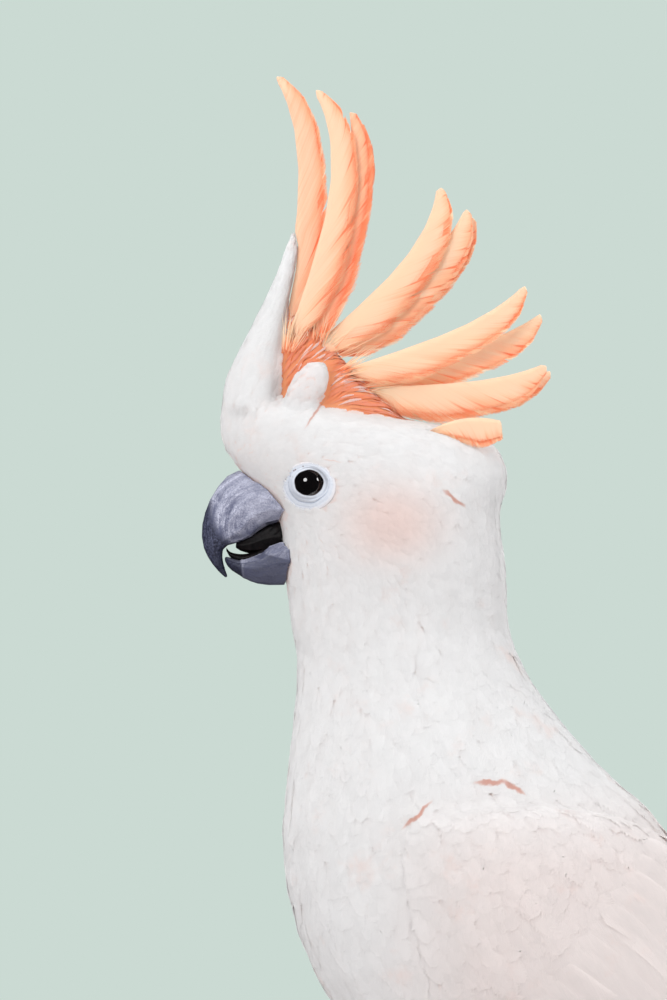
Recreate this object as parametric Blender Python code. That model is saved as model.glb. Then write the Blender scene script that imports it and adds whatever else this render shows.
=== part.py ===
"""A citron-crested cockatoo, life size, standing still with its head up and its crest raised.

-X is forward, +Z is up, and Y = 0 is the mirror plane, with the bird's left side at -Y.
The origin is the middle of the bottom of the whole model's box, on the floor under the feet.
Sizes below are in millimetres in that frame, and MM turns them into metres.
"""

import math

import bmesh
import bpy
from mathutils import Matrix, Vector
from mathutils.bvhtree import BVHTree

MM = 0.001
GAP = 0.3  # between one solid and the next

# The feathered body is one long form, parted into head, neck and trunk by thin cuts.
# Each row is a section across it: front x and z, back x and z, half width, and how much
# wider its back half is than its front half.
BODY = (
    (-108.0, 281.6, -90.0, 277.8, 3.0, 0.0),  # crown, under the crest
    (-118.5, 279.4, -73.0, 275.0, 9.6, 0.0),
    (-120.5, 275.2, -57.0, 272.2, 14.6, 0.05),
    (-120.7, 270.0, -42.5, 269.4, 18.0, 0.10),  # forehead, over the bill
    (-119.3, 264.0, -34.8, 264.5, 20.3, 0.12),
    (-115.5, 258.5, -31.5, 258.5, 21.8, 0.13),  # brow
    (-110.0, 252.5, -31.2, 252.0, 22.8, 0.14),  # eye
    (-103.5, 245.0, -33.4, 245.5, 23.5, 0.14),  # corner of the mouth
    (-101.7, 237.0, -33.3, 238.0, 23.6, 0.12),  # cheek
    (-101.0, 229.0, -31.9, 230.0, 23.2, 0.08),  # chin
    (-99.8, 219.0, -31.2, 220.0, 22.2, 0.05),
    (-98.7, 209.0, -30.9, 210.0, 21.8, 0.0),  # throat and nape
    (-96.8, 200.0, -28.4, 201.0, 22.6, 0.0),
    (-97.4, 186.0, -20.5, 187.0, 25.5, 0.0),
    (-98.8, 171.0, -6.6, 170.2, 31.0, 0.0),  # foot of the neck
    (-101.6, 147.0, 3.2, 160.2, 36.0, 0.0),
    (-99.6, 125.0, 12.5, 152.5, 39.0, 0.0),  # breast and mantle
    (-93.5, 106.0, 20.0, 142.5, 41.0, -0.04),
    (-83.2, 87.0, 27.5, 132.0, 41.5, -0.06),
    (-68.0, 72.5, 35.5, 120.5, 40.5, -0.06),
    (-47.6, 60.0, 43.5, 107.5, 38.0, -0.04),  # belly and lower back
    (-24.5, 48.0, 51.5, 93.0, 34.0, 0.0),
    (0.5, 37.5, 60.5, 77.5, 28.5, 0.0),
    (25.3, 29.0, 70.0, 61.5, 22.0, 0.0),
    (50.0, 22.5, 79.0, 46.0, 15.5, 0.0),
    (68.0, 19.0, 86.5, 34.5, 9.5, 0.0),  # tail coverts
    (90.0, 13.5, 99.5, 22.5, 11.0, 0.0),  # from here on only the folded wings use the form
    (109.5, 10.5, 114.0, 14.5, 9.5, 0.0),
)
HEAD_ROWS = (0.0, 10.5)
CROWN_ROWS = (0.0, 4.2)  # the flat top of the head, where the crest stands
NECK_ROWS = (10.5, 13.5)
TRUNK_ROWS = (13.5, 25.0)
WING_ROWS = (15.02, 27.0)
RING = 22  # points round a body section

# Folded wing: row, lowest and highest angle round the body (0 is the belly line, 180 the
# back line) and how far it swells out from the body.
WING = (
    (15.02, 90.0, 104.0, 0.8),
    (15.12, 77.0, 118.0, 2.2),
    (15.40, 73.0, 130.0, 4.0),
    (16.00, 69.5, 147.0, 5.2),
    (17.00, 66.5, 163.0, 5.4),
    (18.00, 62.5, 171.0, 5.0),
    (19.00, 60.5, 175.5, 4.6),
    (20.00, 61.5, 177.0, 4.2),
    (21.00, 63.5, 177.5, 4.0),
    (22.00, 64.0, 177.5, 3.6),
    (23.00, 66.0, 177.5, 3.2),
    (24.00, 70.0, 177.0, 2.8),
    (25.00, 78.0, 177.0, 2.2),
    (26.00, 94.0, 175.0, 1.6),
    (26.65, 110.0, 168.0, 1.0),
    (27.00, 132.0, 156.0, 0.6),
)
WING_ARC = 7  # points across a wing's outer face
WING_EDGE = (0.8, 3.0)  # thickness along the lower edge and along the back
WING_SUNK = 3.0  # how deep the wing is modelled into the trunk before it is cut to it
QUILLS = 2.0  # thickness of the wing tip, clear of the trunk

TAIL_ROOT = (70.0, 29.5)
TAIL_TIP = (126.5, 1.4)
TAIL_HALF = (11.0, 21.0)  # half width at the root and at its widest
TAIL_THICK = (4.6, 1.3)
TAIL_ARCH = 2.2  # how much lower the outer feathers lie than the middle ones
TAIL_ROUND = 6.0  # how much shorter the outer feathers are
TAIL_ACROSS = 9  # points across the tail

EYE_AT = (-92.8, 253.3)
EYE_RADIUS = 5.2
EYE_PROUD = 1.3

# Bill sections, root to tip: ridge x and z, cutting edge x and z, half width, and how
# much wider it is near the cutting edge.
BILL_UPPER = (
    (-110.5, 257.0, -97.0, 241.0, 9.2, 0.20),
    (-116.0, 257.0, -103.4, 240.6, 9.0, 0.25),
    (-120.2, 253.3, -107.4, 238.9, 8.4, 0.30),
    (-123.6, 248.2, -110.4, 236.2, 7.4, 0.30),
    (-125.5, 242.9, -114.0, 234.8, 6.2, 0.25),
    (-126.2, 238.0, -117.4, 234.2, 5.0, 0.20),
    (-125.5, 233.0, -119.5, 232.6, 3.8, 0.10),
    (-123.8, 229.6, -119.6, 229.6, 2.6, 0.0),
    (-121.6, 226.6, -119.0, 227.0, 1.6, 0.0),
    (-118.8, 223.9, -118.0, 224.3, 0.5, 0.0),
)
# The same for the lower half, root to front: rim, keel, half width.
BILL_LOWER = (
    (-98.0, 236.0, -97.5, 222.0, 8.2, -0.35),
    (-103.6, 235.2, -103.4, 221.5, 7.9, -0.35),
    (-107.4, 232.2, -108.6, 222.0, 7.3, -0.35),
    (-110.8, 230.6, -112.0, 223.2, 6.5, -0.30),
    (-114.4, 229.4, -115.0, 225.0, 5.4, -0.25),
    (-117.3, 230.1, -117.6, 226.8, 3.8, -0.20),
    (-119.0, 230.4, -118.9, 229.0, 1.5, 0.0),
)
# Tongue: top x and z, underside x and z, half width.
TONGUE = (
    (-97.0, 242.0, -97.5, 229.0, 4.4, 0.0),
    (-101.5, 241.4, -102.5, 228.4, 4.4, 0.0),
    (-105.6, 239.8, -107.0, 227.8, 4.2, 0.0),
    (-109.0, 236.7, -110.4, 227.8, 3.9, 0.0),
    (-112.4, 234.0, -113.2, 228.6, 3.3, 0.0),
    (-115.0, 232.6, -115.2, 230.2, 1.8, 0.0),
)

# White feathers of the forehead, swept up in front of the crest: front x and z, back x
# and z, half width.
FOREHEAD = (
    (-120.2, 276.5, -100.6, 275.5, 11.4, 0.0),
    (-119.6, 282.0, -100.6, 282.0, 10.4, 0.0),
    (-117.9, 288.3, -100.8, 288.3, 9.8, 0.0),
    (-113.0, 297.6, -100.9, 297.9, 8.2, 0.0),
    (-108.2, 306.9, -99.4, 307.6, 6.2, 0.0),
    (-103.8, 316.2, -97.6, 316.4, 4.4, 0.0),
    (-100.3, 325.2, -96.3, 325.6, 2.6, 0.0),
    (-98.4, 331.0, -97.4, 331.4, 0.8, 0.0),
)
# The mound of orange down that the crest feathers stand in.
CREST_BED = (
    (-103.0, 271.0, -62.0, 268.0, 8.4, 0.0),
    (-103.0, 278.0, -65.0, 276.0, 8.2, 0.0),
    (-103.0, 284.6, -74.0, 283.6, 7.4, 0.0),
    (-102.5, 290.5, -80.0, 289.5, 6.6, 0.0),
    (-101.5, 296.5, -85.5, 295.5, 5.4, 0.0),
    (-99.0, 303.0, -92.5, 302.0, 3.2, 0.0),
    (-98.0, 306.0, -96.0, 305.8, 0.9, 0.0),
)
LOBE_AT = (-93.4, 9.6, 282.6)  # short white oval tuft on each side of the crown
LOBE_HALF = (5.6, 3.6, 9.6)
LOBE_LEAN = math.radians(34.0)  # its top tips backwards

# Crest feathers: root x and z, lean back from upright, length, how far the feather turns
# forward by its tip (degrees), web width, and the sheet it lies in, counted out from the
# mirror plane (negative is the left side).
CREST = {
    "crest_feather_01": (-102.8, 295.5, 9.8, 85.0, 41.0, 11.4, 0),
    "crest_feather_02": (-99.9, 296.5, 18.9, 80.5, 51.0, 11.6, -2),
    "crest_feather_03": (-94.6, 295.6, 17.6, 74.3, 25.8, 11.0, -1),
    "crest_feather_04": (-93.1, 296.1, 19.1, 71.5, 25.3, 8.0, 2),
    "crest_feather_05": (-91.7, 295.5, 48.8, 64.0, 44.0, 13.5, 0),
    "crest_feather_06": (-87.4, 294.3, 50.6, 62.0, 25.5, 13.4, 1),
    "crest_feather_07": (-84.4, 294.0, 52.8, 60.0, 31.0, 10.0, 2),
    "crest_feather_08": (-81.5, 288.6, 71.8, 61.2, 27.5, 12.0, -2),
    "crest_feather_09": (-78.5, 286.4, 76.8, 60.8, 22.0, 12.3, 1),
    "crest_feather_10": (-77.1, 282.9, 88.3, 58.0, 22.5, 14.5, -1),
    "crest_feather_11": (-75.9, 281.0, 88.5, 58.6, 23.0, 11.8, 2),
}
CREST_SHEET = 2.2  # from one sheet of feathers to the next
CREST_TURN = 3.0  # the turn grows with this power of the way along
CREST_ROOT = 0.2  # share of the web that is left at the root
CREST_TAPER = 0.38  # share of the web lost evenly between root and tip
CREST_POINT = 0.45  # share of the web lost close to the tip
CREST_RIDGE = 1.6  # thickness along the shaft
CREST_EDGE = 0.6  # thickness along the free edge
CREST_FLARE = 0.07  # each sheet's free edges spread outwards by this share of their width
CREST_SWEEP = 0.25  # how far the web's free edge runs ahead of the shaft, as a share of the width
CREST_STATIONS = (0.0, 0.1, 0.28, 0.5, 0.66, 0.8, 0.9, 0.96, 1.0)  # shares of the length
CREST_SECTION = ((0.0, 0.6), (0.2, 1.0), (0.6, 0.8), (1.0, 0.0))  # share of web, share of ridge

# The short broad feather that curls up behind each side of the crown.
NAPE_LEAF_AT = (-56.5, 15.5, 266.5)
NAPE_LEAF_RUN = (23.0, -3.0, 3.0)
NAPE_LEAF_UP = (-0.10, 0.25, 0.95)
NAPE_LEAF_WIDTH = 10.5
NAPE_LEAF_HALF = 0.7

ANKLE = (-10.0, 21.5, 20.0)
FOOT = (-19.0, 4.6, 21.0)
KNEE = (-3.0, 54.0, 15.5)
THIGH_RADII = (15.4, 14.2, 10.6, 6.0)
SHANK_RADIUS = 3.1
SOLE_HALF = (5.2, 4.6, 3.4)
SOLE_HEIGHT = 1.9  # middle of the sole's pad above the floor, before the floor trims it
TOE_PRESS = 0.72  # a toe's middle above the floor, as a share of its radius
KNUCKLE = 0.25  # how much each joint of a toe swells
# Toes: heading in degrees from straight ahead, out from the mirror plane, length to the
# root of the claw, radius at the root and at the claw, and the claw's length.
TOES = {
    "outer_front": (14.0, 27.0, 3.0, 2.1, 10.0),
    "inner_front": (-17.0, 20.0, 2.8, 2.0, 9.0),
    "outer_back": (152.0, 24.0, 2.9, 2.0, 9.5),
    "inner_back": (-158.0, 13.0, 2.7, 1.9, 8.0),
}
CLAW_RADIUS = 1.5
CLAW_BEND = 1.15  # radians from a claw's root to its point
CLAW_TAPER = 0.86
CLAW_LIFT = 2.1  # how far a claw arches up before it comes down
CLAW_DROP = 0.42

WHITE = (0.86, 0.84, 0.84)
PEACH = (0.98, 0.56, 0.32)
ORANGE = (0.93, 0.24, 0.08)
SLATE = (0.10, 0.11, 0.15)
DARK = (0.02, 0.02, 0.025)
GREY_SKIN = (0.16, 0.15, 0.16)


def clear_scene():
    for obj in list(bpy.data.objects):
        bpy.data.objects.remove(obj, do_unlink=True)


def solid(name, points, faces, colour, roughness):
    """A smooth-shaded object from points in millimetres, with a material of its own."""
    mesh = bpy.data.meshes.new(name)
    mesh.from_pydata([Vector(p) * MM for p in points], [], faces)
    shape = bmesh.new()
    shape.from_mesh(mesh)
    bmesh.ops.triangulate(shape, faces=shape.faces)
    bmesh.ops.recalc_face_normals(shape, faces=shape.faces)
    shape.to_mesh(mesh)
    shape.free()
    mesh.shade_smooth()
    material = bpy.data.materials.new(name)
    material.use_nodes = True
    surface = material.node_tree.nodes["Principled BSDF"]
    surface.inputs["Base Color"].default_value = (*colour, 1.0)
    surface.inputs["Roughness"].default_value = roughness
    surface.inputs["Metallic"].default_value = 0.0
    mesh.materials.append(material)
    obj = bpy.data.objects.new(name, mesh)
    bpy.context.scene.collection.objects.link(obj)
    return obj


def cutter(name, points, faces):
    obj = solid(name, points, faces, WHITE, 1.0)
    obj.hide_render = True
    obj.display_type = "WIRE"
    return obj


def cut(obj, *cutters):
    for tool in cutters:
        modifier = obj.modifiers.new("cut_" + tool.name, "BOOLEAN")
        modifier.operation = "DIFFERENCE"
        modifier.solver = "EXACT"
        modifier.object = tool


def join(obj, *others):
    for other in others:
        modifier = obj.modifiers.new("join_" + other.name, "BOOLEAN")
        modifier.operation = "UNION"
        modifier.solver = "EXACT"
        modifier.object = other


def lofted(rings):
    """Points and faces of a closed skin over rings that all have the same number of points."""
    count = len(rings[0])
    points = [p for ring in rings for p in ring]
    faces = []
    for r in range(len(rings) - 1):
        for i in range(count):
            j = (i + 1) % count
            faces.append((r * count + i, r * count + j, (r + 1) * count + j, (r + 1) * count + i))
    for ring, first in ((rings[0], 0), (rings[-1], (len(rings) - 1) * count)):
        points.append(sum((Vector(p) for p in ring), Vector()) / count)
        middle = len(points) - 1
        faces += [(first + i, first + (i + 1) % count, middle) for i in range(count)]
    return points, faces


def blend_rows(rows, at):
    """A smooth curve through rows of numbers, read at a fractional row."""
    i = max(min(int(at), len(rows) - 2), 0)
    f = at - i
    before, here, after, beyond = (rows[min(max(i + k, 0), len(rows) - 1)] for k in (-1, 0, 1, 2))
    return [
        q + 0.5 * f * (r - p + f * (2 * p - 5 * q + 4 * r - s + f * (3 * (q - r) + s - p)))
        for p, q, r, s in zip(before, here, after, beyond)
    ]


def section_point(rows, at, angle, grow=0.0):
    """A point on a form given by section rows: angle 0 is its front line and pi its back line."""
    front_x, front_z, back_x, back_z, half, egg = blend_rows(rows, at)
    front = Vector((front_x, 0, front_z))
    back = Vector((back_x, 0, back_z))
    depth = (back - front).length / 2 + grow
    along = (back - front).normalized()
    across = (half + grow) * math.sin(angle) * (1 - egg * math.cos(angle))
    return (front + back) / 2 - along * depth * math.cos(angle) + Vector((0, across, 0))


def form(rows, first, last, rings, count, grow=0.0, overrun=0.0):
    """Rings of the form from one row to another, as points and faces."""
    turns = [2 * math.pi * i / count for i in range(count)]
    steps = [first - overrun + (last - first + 2 * overrun) * k / (rings - 1) for k in range(rings)]
    return lofted([[section_point(rows, s, a, grow) for a in turns] for s in steps])


def row_gap(rows, at):
    """The share of a row that half of GAP takes up there, measured between section middles."""
    step = 0.05
    ends = [section_point(rows, at + k, 0) + section_point(rows, at + k, math.pi) for k in (-step, step)]
    return 0.5 * GAP * 2 * step / (0.5 * (ends[1] - ends[0]).length)


def ellipsoid(centre, half, rings=8, count=12, grow=0.0, lean=0.0):
    """Rings of an ellipsoid, its top tipped backwards by the lean, as points and faces."""
    middle = Vector(centre)
    tipped = Matrix.Rotation(lean, 3, "Y")
    around = [2 * math.pi * i / count for i in range(count)]
    sides = [math.pi * (k + 0.5) / rings for k in range(rings)]
    size = [h + grow for h in half]
    points = [
        [
            middle
            + tipped
            @ Vector(
                (
                    size[0] * math.sin(b) * math.cos(a),
                    size[1] * math.sin(b) * math.sin(a),
                    size[2] * math.cos(b),
                )
            )
            for a in around
        ]
        for b in sides
    ]
    return lofted(points)


def tube(centres, radii, count=10, turn=0.0):
    """Rings round a line of centres, as points and faces."""
    angles = [turn + 2 * math.pi * i / count for i in range(count)]
    rings = []
    for k, centre in enumerate(centres):
        here = Vector(centres[min(k + 1, len(centres) - 1)]) - Vector(centres[max(k - 1, 0)])
        level = Vector((0, 0, 1)) if abs(here.normalized().z) < 0.9 else Vector((1, 0, 0))
        side = here.cross(level).normalized()
        over = side.cross(here).normalized()
        rings.append([Vector(centre) + radii[k] * (side * math.cos(a) + over * math.sin(a)) for a in angles])
    return lofted(rings)


def surface_y(obj, x, z):
    """How far out from the mirror plane an object's left side lies at x and z."""
    mesh = obj.data
    tree = BVHTree.FromPolygons([v.co for v in mesh.vertices], [p.vertices for p in mesh.polygons])
    hit = tree.ray_cast(Vector((x, -100, z)) * MM, Vector((0, 1, 0)))[0]
    return -hit.y / MM


def make_body():
    """Head, neck and trunk, with half a gap taken off each side of each cut."""
    parts = (("head", HEAD_ROWS, 16), ("neck", NECK_ROWS, 5), ("trunk", TRUNK_ROWS, 16))
    for name, (first, last), rings in parts:
        start = first + (row_gap(BODY, first) if first > 0 else 0)
        end = last - (row_gap(BODY, last) if last < TRUNK_ROWS[1] else 0)
        solid(name, *form(BODY, start, end, rings, RING), WHITE, 0.9)
    cutter("trunk_room", *form(BODY, *TRUNK_ROWS, 16, RING, GAP, 0.05))
    cutter("head_room", *form(BODY, *HEAD_ROWS, 16, RING, GAP, 0.02))


def wing_ring(row, low, high, swell, side):
    """One closed section of a folded wing: its outer face, then its inner face back again."""
    outer, inner = [], []
    clear = min(max((row - 24.0) / 1.5, 0.0), 1.0)
    for i in range(WING_ARC):
        v = i / (WING_ARC - 1)
        angle = math.radians(low + (high - low) * v)
        edge = WING_EDGE[0] + (WING_EDGE[1] - WING_EDGE[0]) * v
        thick = min(edge, 0.8 + swell) + swell * math.sin(math.pi * v) ** 0.7
        sunk = (1 - clear) * -WING_SUNK + clear * (thick - QUILLS)
        outer.append(section_point(BODY, row, side * angle, thick))
        inner.append(section_point(BODY, row, side * angle, sunk))
    return outer + inner[::-1]


def make_wings():
    steps = 18
    for name, side in (("wing_left", -1), ("wing_right", 1)):
        rings = []
        for k in range(steps):
            at = (len(WING) - 1) * k / (steps - 1)
            rings.append(wing_ring(*blend_rows(WING, at), side))
        wing = solid(name, *lofted(rings), WHITE, 0.85)
        cut(wing, bpy.data.objects["trunk_room"], bpy.data.objects["tail_room"])


def tail_shape(grow):
    """The folded tail: a thin arched fan, a little rounded at its end."""
    rings = []
    steps = 9
    root, tip = Vector((TAIL_ROOT[0], 0, TAIL_ROOT[1])), Vector((TAIL_TIP[0], 0, TAIL_TIP[1]))
    along = (tip - root).normalized()
    up = Vector((-along.z, 0, along.x))
    for k in range(steps):
        f = k / (steps - 1)
        fan = math.sin(0.5 * math.pi * min(f / 0.8, 1.0))
        half = TAIL_HALF[0] + (TAIL_HALF[1] - TAIL_HALF[0]) * fan + grow
        thick = (TAIL_THICK[0] + (TAIL_THICK[1] - TAIL_THICK[0]) * f) / 2 + grow
        over, under = [], []
        for i in range(TAIL_ACROSS):
            v = -1 + 2 * i / (TAIL_ACROSS - 1)
            back = -TAIL_ROUND * f**3 * v * v
            middle = root + (tip - root) * f + along * (back + grow * (2 * f - 1)) - up * TAIL_ARCH * v * v
            body = thick * (1 - 0.6 * v * v)
            over.append(middle + Vector((0, half * v, 0)) + up * body)
            under.append(middle + Vector((0, half * v, 0)) - up * body)
        rings.append(over + under[::-1])
    return lofted(rings)


def make_tail():
    tail = solid("tail", *tail_shape(0.0), WHITE, 0.85)
    cut(tail, bpy.data.objects["trunk_room"])


def make_eyes():
    head = bpy.data.objects["head"]
    out = surface_y(head, *EYE_AT) + EYE_PROUD - EYE_RADIUS
    half = (EYE_RADIUS,) * 3
    for name, side in (("eye_left", -1), ("eye_right", 1)):
        centre = (EYE_AT[0], side * out, EYE_AT[1])
        solid(name, *ellipsoid(centre, half, 8, 10), DARK, 0.1)
        room = cutter(name + "_room", *ellipsoid(centre, half, 8, 10, GAP))
        cut(head, room)


def make_bill():
    upper = solid("bill_upper", *form(BILL_UPPER, 0, len(BILL_UPPER) - 1, 13, 12), SLATE, 0.5)
    lower = solid("bill_lower", *form(BILL_LOWER, 0, len(BILL_LOWER) - 1, 10, 12), SLATE, 0.5)
    tongue = solid("tongue", *form(TONGUE, 0, len(TONGUE) - 1, 7, 8), DARK, 0.4)
    tongue_room = cutter("tongue_room", *form(TONGUE, 0, len(TONGUE) - 1, 7, 8, GAP, 0.1))
    head_room = bpy.data.objects["head_room"]
    cut(upper, tongue_room)
    cut(lower, tongue_room)
    for piece in (upper, lower, tongue):
        cut(piece, head_room)


def crest_line(feather, share):
    """Where the shaft of a crest feather is, and its heading, a share of the way along it."""
    root_x, root_z, lean, length, turn = feather[:5]
    place, steps = Vector((root_x, 0, root_z)), 40
    for k in range(round(steps * share)):
        heading = math.radians(lean - turn * ((k + 0.5) / steps) ** CREST_TURN)
        place += Vector((math.sin(heading), 0, math.cos(heading))) * length / steps
    heading = math.radians(lean - turn * share**CREST_TURN)
    return place, Vector((math.sin(heading), 0, math.cos(heading)))


def crest_feather(feather):
    """A thin blade: shaft along its front edge, web swept back from it, blunt at the tip."""
    web, sheet = feather[5:]
    rings = []
    for share in CREST_STATIONS:
        place, ahead = crest_line(feather, share)
        rear = Vector((ahead.z, 0, -ahead.x))
        outer = max(share - 0.55, 0) / 0.45
        width = web * min(CREST_ROOT + 5.0 * share, 1.0) * (1 - CREST_TAPER * share - CREST_POINT * outer**4)
        out = Vector((0, sheet * CREST_SHEET, 0))
        ring = []
        for across, thick in CREST_SECTION:
            flare = Vector((0, sheet * CREST_FLARE * width * across**1.5, 0))
            half = (CREST_EDGE + (CREST_RIDGE - CREST_EDGE) * thick) / 2
            sweep = ahead * CREST_SWEEP * width * across * (1 - share)
            ring.append((place + rear * width * across + out + flare + sweep, half))
        over = [p + Vector((0, half, 0)) for p, half in ring]
        under = [p - Vector((0, half, 0)) for p, half in ring]
        rings.append(over + under[::-1])
    return lofted(rings)


def make_crest():
    head_room = bpy.data.objects["head_room"]
    crown, crown_faces = form(BODY, *CROWN_ROWS, 7, RING, GAP)
    crown_room = cutter("crown_room", [p + Vector((0, 0, GAP)) for p in crown], crown_faces)
    forehead = solid("forehead_tuft", *form(FOREHEAD, 0, len(FOREHEAD) - 1, 9, 12), WHITE, 0.9)
    forehead_room = cutter("forehead_room", *form(FOREHEAD, 0, len(FOREHEAD) - 1, 9, 12, GAP, 0.03))
    cut(forehead, head_room, crown_room)
    bed = solid("crest_bed", *form(CREST_BED, 0, len(CREST_BED) - 1, 7, 10), ORANGE, 0.9)
    bed_room = cutter("bed_room", *form(CREST_BED, 0, len(CREST_BED) - 1, 7, 10, GAP, 0.03))
    cut(bed, head_room, crown_room, forehead_room)
    rooms = [head_room, crown_room, forehead_room, bed_room]
    for name, side in (("crown_lobe_left", -1), ("crown_lobe_right", 1)):
        centre = (LOBE_AT[0], side * LOBE_AT[1], LOBE_AT[2])
        lobe = solid(name, *ellipsoid(centre, LOBE_HALF, 6, 10, 0.0, LOBE_LEAN), WHITE, 0.9)
        cut(lobe, head_room, crown_room, forehead_room, bed_room)
        rooms.append(cutter(name + "_room", *ellipsoid(centre, LOBE_HALF, 6, 10, GAP, LOBE_LEAN)))
    for name, feather in CREST.items():
        blade = solid(name, *crest_feather(feather), PEACH, 0.8)
        cut(blade, *rooms)


def make_nape_leaves():
    """A short broad feather that curls up behind each side of the crown."""
    steps = 9
    for name, side in (("nape_leaf_left", -1), ("nape_leaf_right", 1)):
        flip = Vector((1, side, 1))
        root, run, up = (Vector(v) * flip for v in (NAPE_LEAF_AT, NAPE_LEAF_RUN, NAPE_LEAF_UP))
        swell = Vector((0, side * NAPE_LEAF_HALF, 0))
        rings = []
        for k in range(steps):
            f = k / (steps - 1)
            half = 0.5 * NAPE_LEAF_WIDTH * math.sin(math.pi * (0.12 + 0.72 * f)) ** 0.8
            middle = root + run * f
            ring = [middle + up * half * v + swell * (1 - v * v) for v in (-1, -0.4, 0.4, 1)]
            ring += [middle + up * half * v - swell for v in (1, 0.4, -0.4, -1)]
            rings.append(ring)
        leaf = solid(name, *lofted(rings), PEACH, 0.8)
        cut(leaf, bpy.data.objects["head_room"])


def make_legs():
    for name, side in (("left", -1), ("right", 1)):
        knee, ankle, foot = (Vector((x, side * y, z)) for x, z, y in (KNEE, ANKLE, FOOT))
        thigh_line = [knee.lerp(ankle, f) for f in (0.0, 0.3, 0.65, 1.0)]
        thigh = solid("thigh_" + name, *tube(thigh_line, THIGH_RADII, 14), WHITE, 0.9)
        cut(thigh, bpy.data.objects["trunk_room"])
        past = thigh_line[:-1] + [ankle + (ankle - knee).normalized() * GAP]
        thigh_room = cutter("thigh_room_" + name, *tube(past, [r + GAP for r in THIGH_RADII], 14))
        shank_line = [ankle, ankle.lerp(foot, 0.5), foot]
        radii = (SHANK_RADIUS, SHANK_RADIUS * 0.92, SHANK_RADIUS * 1.15)
        leg = solid("foot_" + name, *tube(shank_line, radii, 10), GREY_SKIN, 0.7)
        pad = cutter("pad_" + name, *ellipsoid((foot.x, foot.y, SOLE_HEIGHT), SOLE_HALF, 5, 10))
        toes = [make_toe(name, toe, side, foot) for toe in TOES]
        floor = cutter("floor_" + name, *floor_slab(foot))
        join(leg, pad, *toes)
        cut(leg, floor, thigh_room)


def floor_slab(foot):
    """A slab that fills everything below the floor under one foot."""
    corners = ((-45, -38), (45, -38), (45, 38), (-45, 38))
    points = [(foot.x + dx, foot.y + dy, z) for z in (-8.0, 0.0) for dx, dy in corners]
    faces = [(3, 2, 1, 0), (4, 5, 6, 7)] + [(i, (i + 1) % 4, (i + 1) % 4 + 4, i + 4) for i in range(4)]
    return points, faces


def make_toe(name, toe, side, foot):
    """One toe as a helper to join to the foot, and its claw as an object of its own."""
    heading, length, root_radius, end_radius, claw_length = TOES[toe]
    way = math.radians(heading)
    ahead = Vector((-math.cos(way), side * math.sin(way), 0))
    start = Vector((foot.x, foot.y, 0))
    line, radii, claw_line, claw_radii = [], [], [], []
    for k in range(5):
        f = k / 4
        radius = root_radius + (end_radius - root_radius) * f + KNUCKLE * math.sin(3 * math.pi * f) ** 2
        line.append(start + ahead * length * f + Vector((0, 0, radius * TOE_PRESS)))
        radii.append(radius)
        reach = claw_length * math.sin(CLAW_BEND * f) / CLAW_BEND
        drop = claw_length * (1 - math.cos(CLAW_BEND * f)) / CLAW_BEND
        arch = CLAW_LIFT * math.sin(math.pi * min(0.9 * f, 1))
        height = end_radius * 1.15 + arch - CLAW_DROP * drop
        claw_line.append(start + ahead * (length + end_radius * 0.3 + GAP + reach) + Vector((0, 0, height)))
        claw_radii.append(CLAW_RADIUS * (1 - CLAW_TAPER * f**1.2))
    claw_name = f"claw_{name}_{toe}"
    toe_helper = cutter(f"toe_{name}_{toe}", *tube(line, radii, 8, 0.39))
    claw = solid(claw_name, *tube(claw_line, claw_radii, 7), DARK, 0.35)
    cut(claw, cutter(f"toe_room_{name}_{toe}", *tube(line, [r + GAP for r in radii], 8, 0.39)))
    return toe_helper


def settle():
    """Moves everything so that the origin is the middle of the bottom of the whole box."""
    bpy.context.view_layer.update()
    graph = bpy.context.evaluated_depsgraph_get()
    corners = [
        v.co.copy()
        for obj in bpy.context.scene.objects
        if not obj.hide_render
        for v in obj.evaluated_get(graph).data.vertices
    ]
    low = Vector([min(c[i] for c in corners) for i in range(3)])
    high = Vector([max(c[i] for c in corners) for i in range(3)])
    shift = Vector((-(low.x + high.x) / 2, -(low.y + high.y) / 2, -low.z))
    for obj in bpy.context.scene.objects:
        for v in obj.data.vertices:
            v.co += shift
    print("box", [round(s / MM, 1) for s in high - low], "moved", [round(s / MM, 2) for s in shift])


clear_scene()
make_body()
cutter("tail_room", *tail_shape(GAP))
make_wings()
make_tail()
make_eyes()
make_bill()
make_crest()
make_nape_leaves()
make_legs()
settle()
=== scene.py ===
# %% [markdown]
# # A citron-crested cockatoo, dressed over its solid model
#
# The solid model says where every part of the bird is. This lesson makes what the eye
# sees over it: a skin, some thousands of small feathers laid along it, the long feathers
# of crest, wings and tail, and the bill, eyes and feet. The bird looks towards -X, its
# left side is at -Y, and it stands on the floor at Z = 0. Sizes are in millimetres here
# and turned into metres where a mesh is made.

# %% The frame
import math
from functools import cache
from itertools import product

import bpy
import numpy as np
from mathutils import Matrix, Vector
from mathutils.bvhtree import BVHTree
from mathutils.kdtree import KDTree


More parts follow.
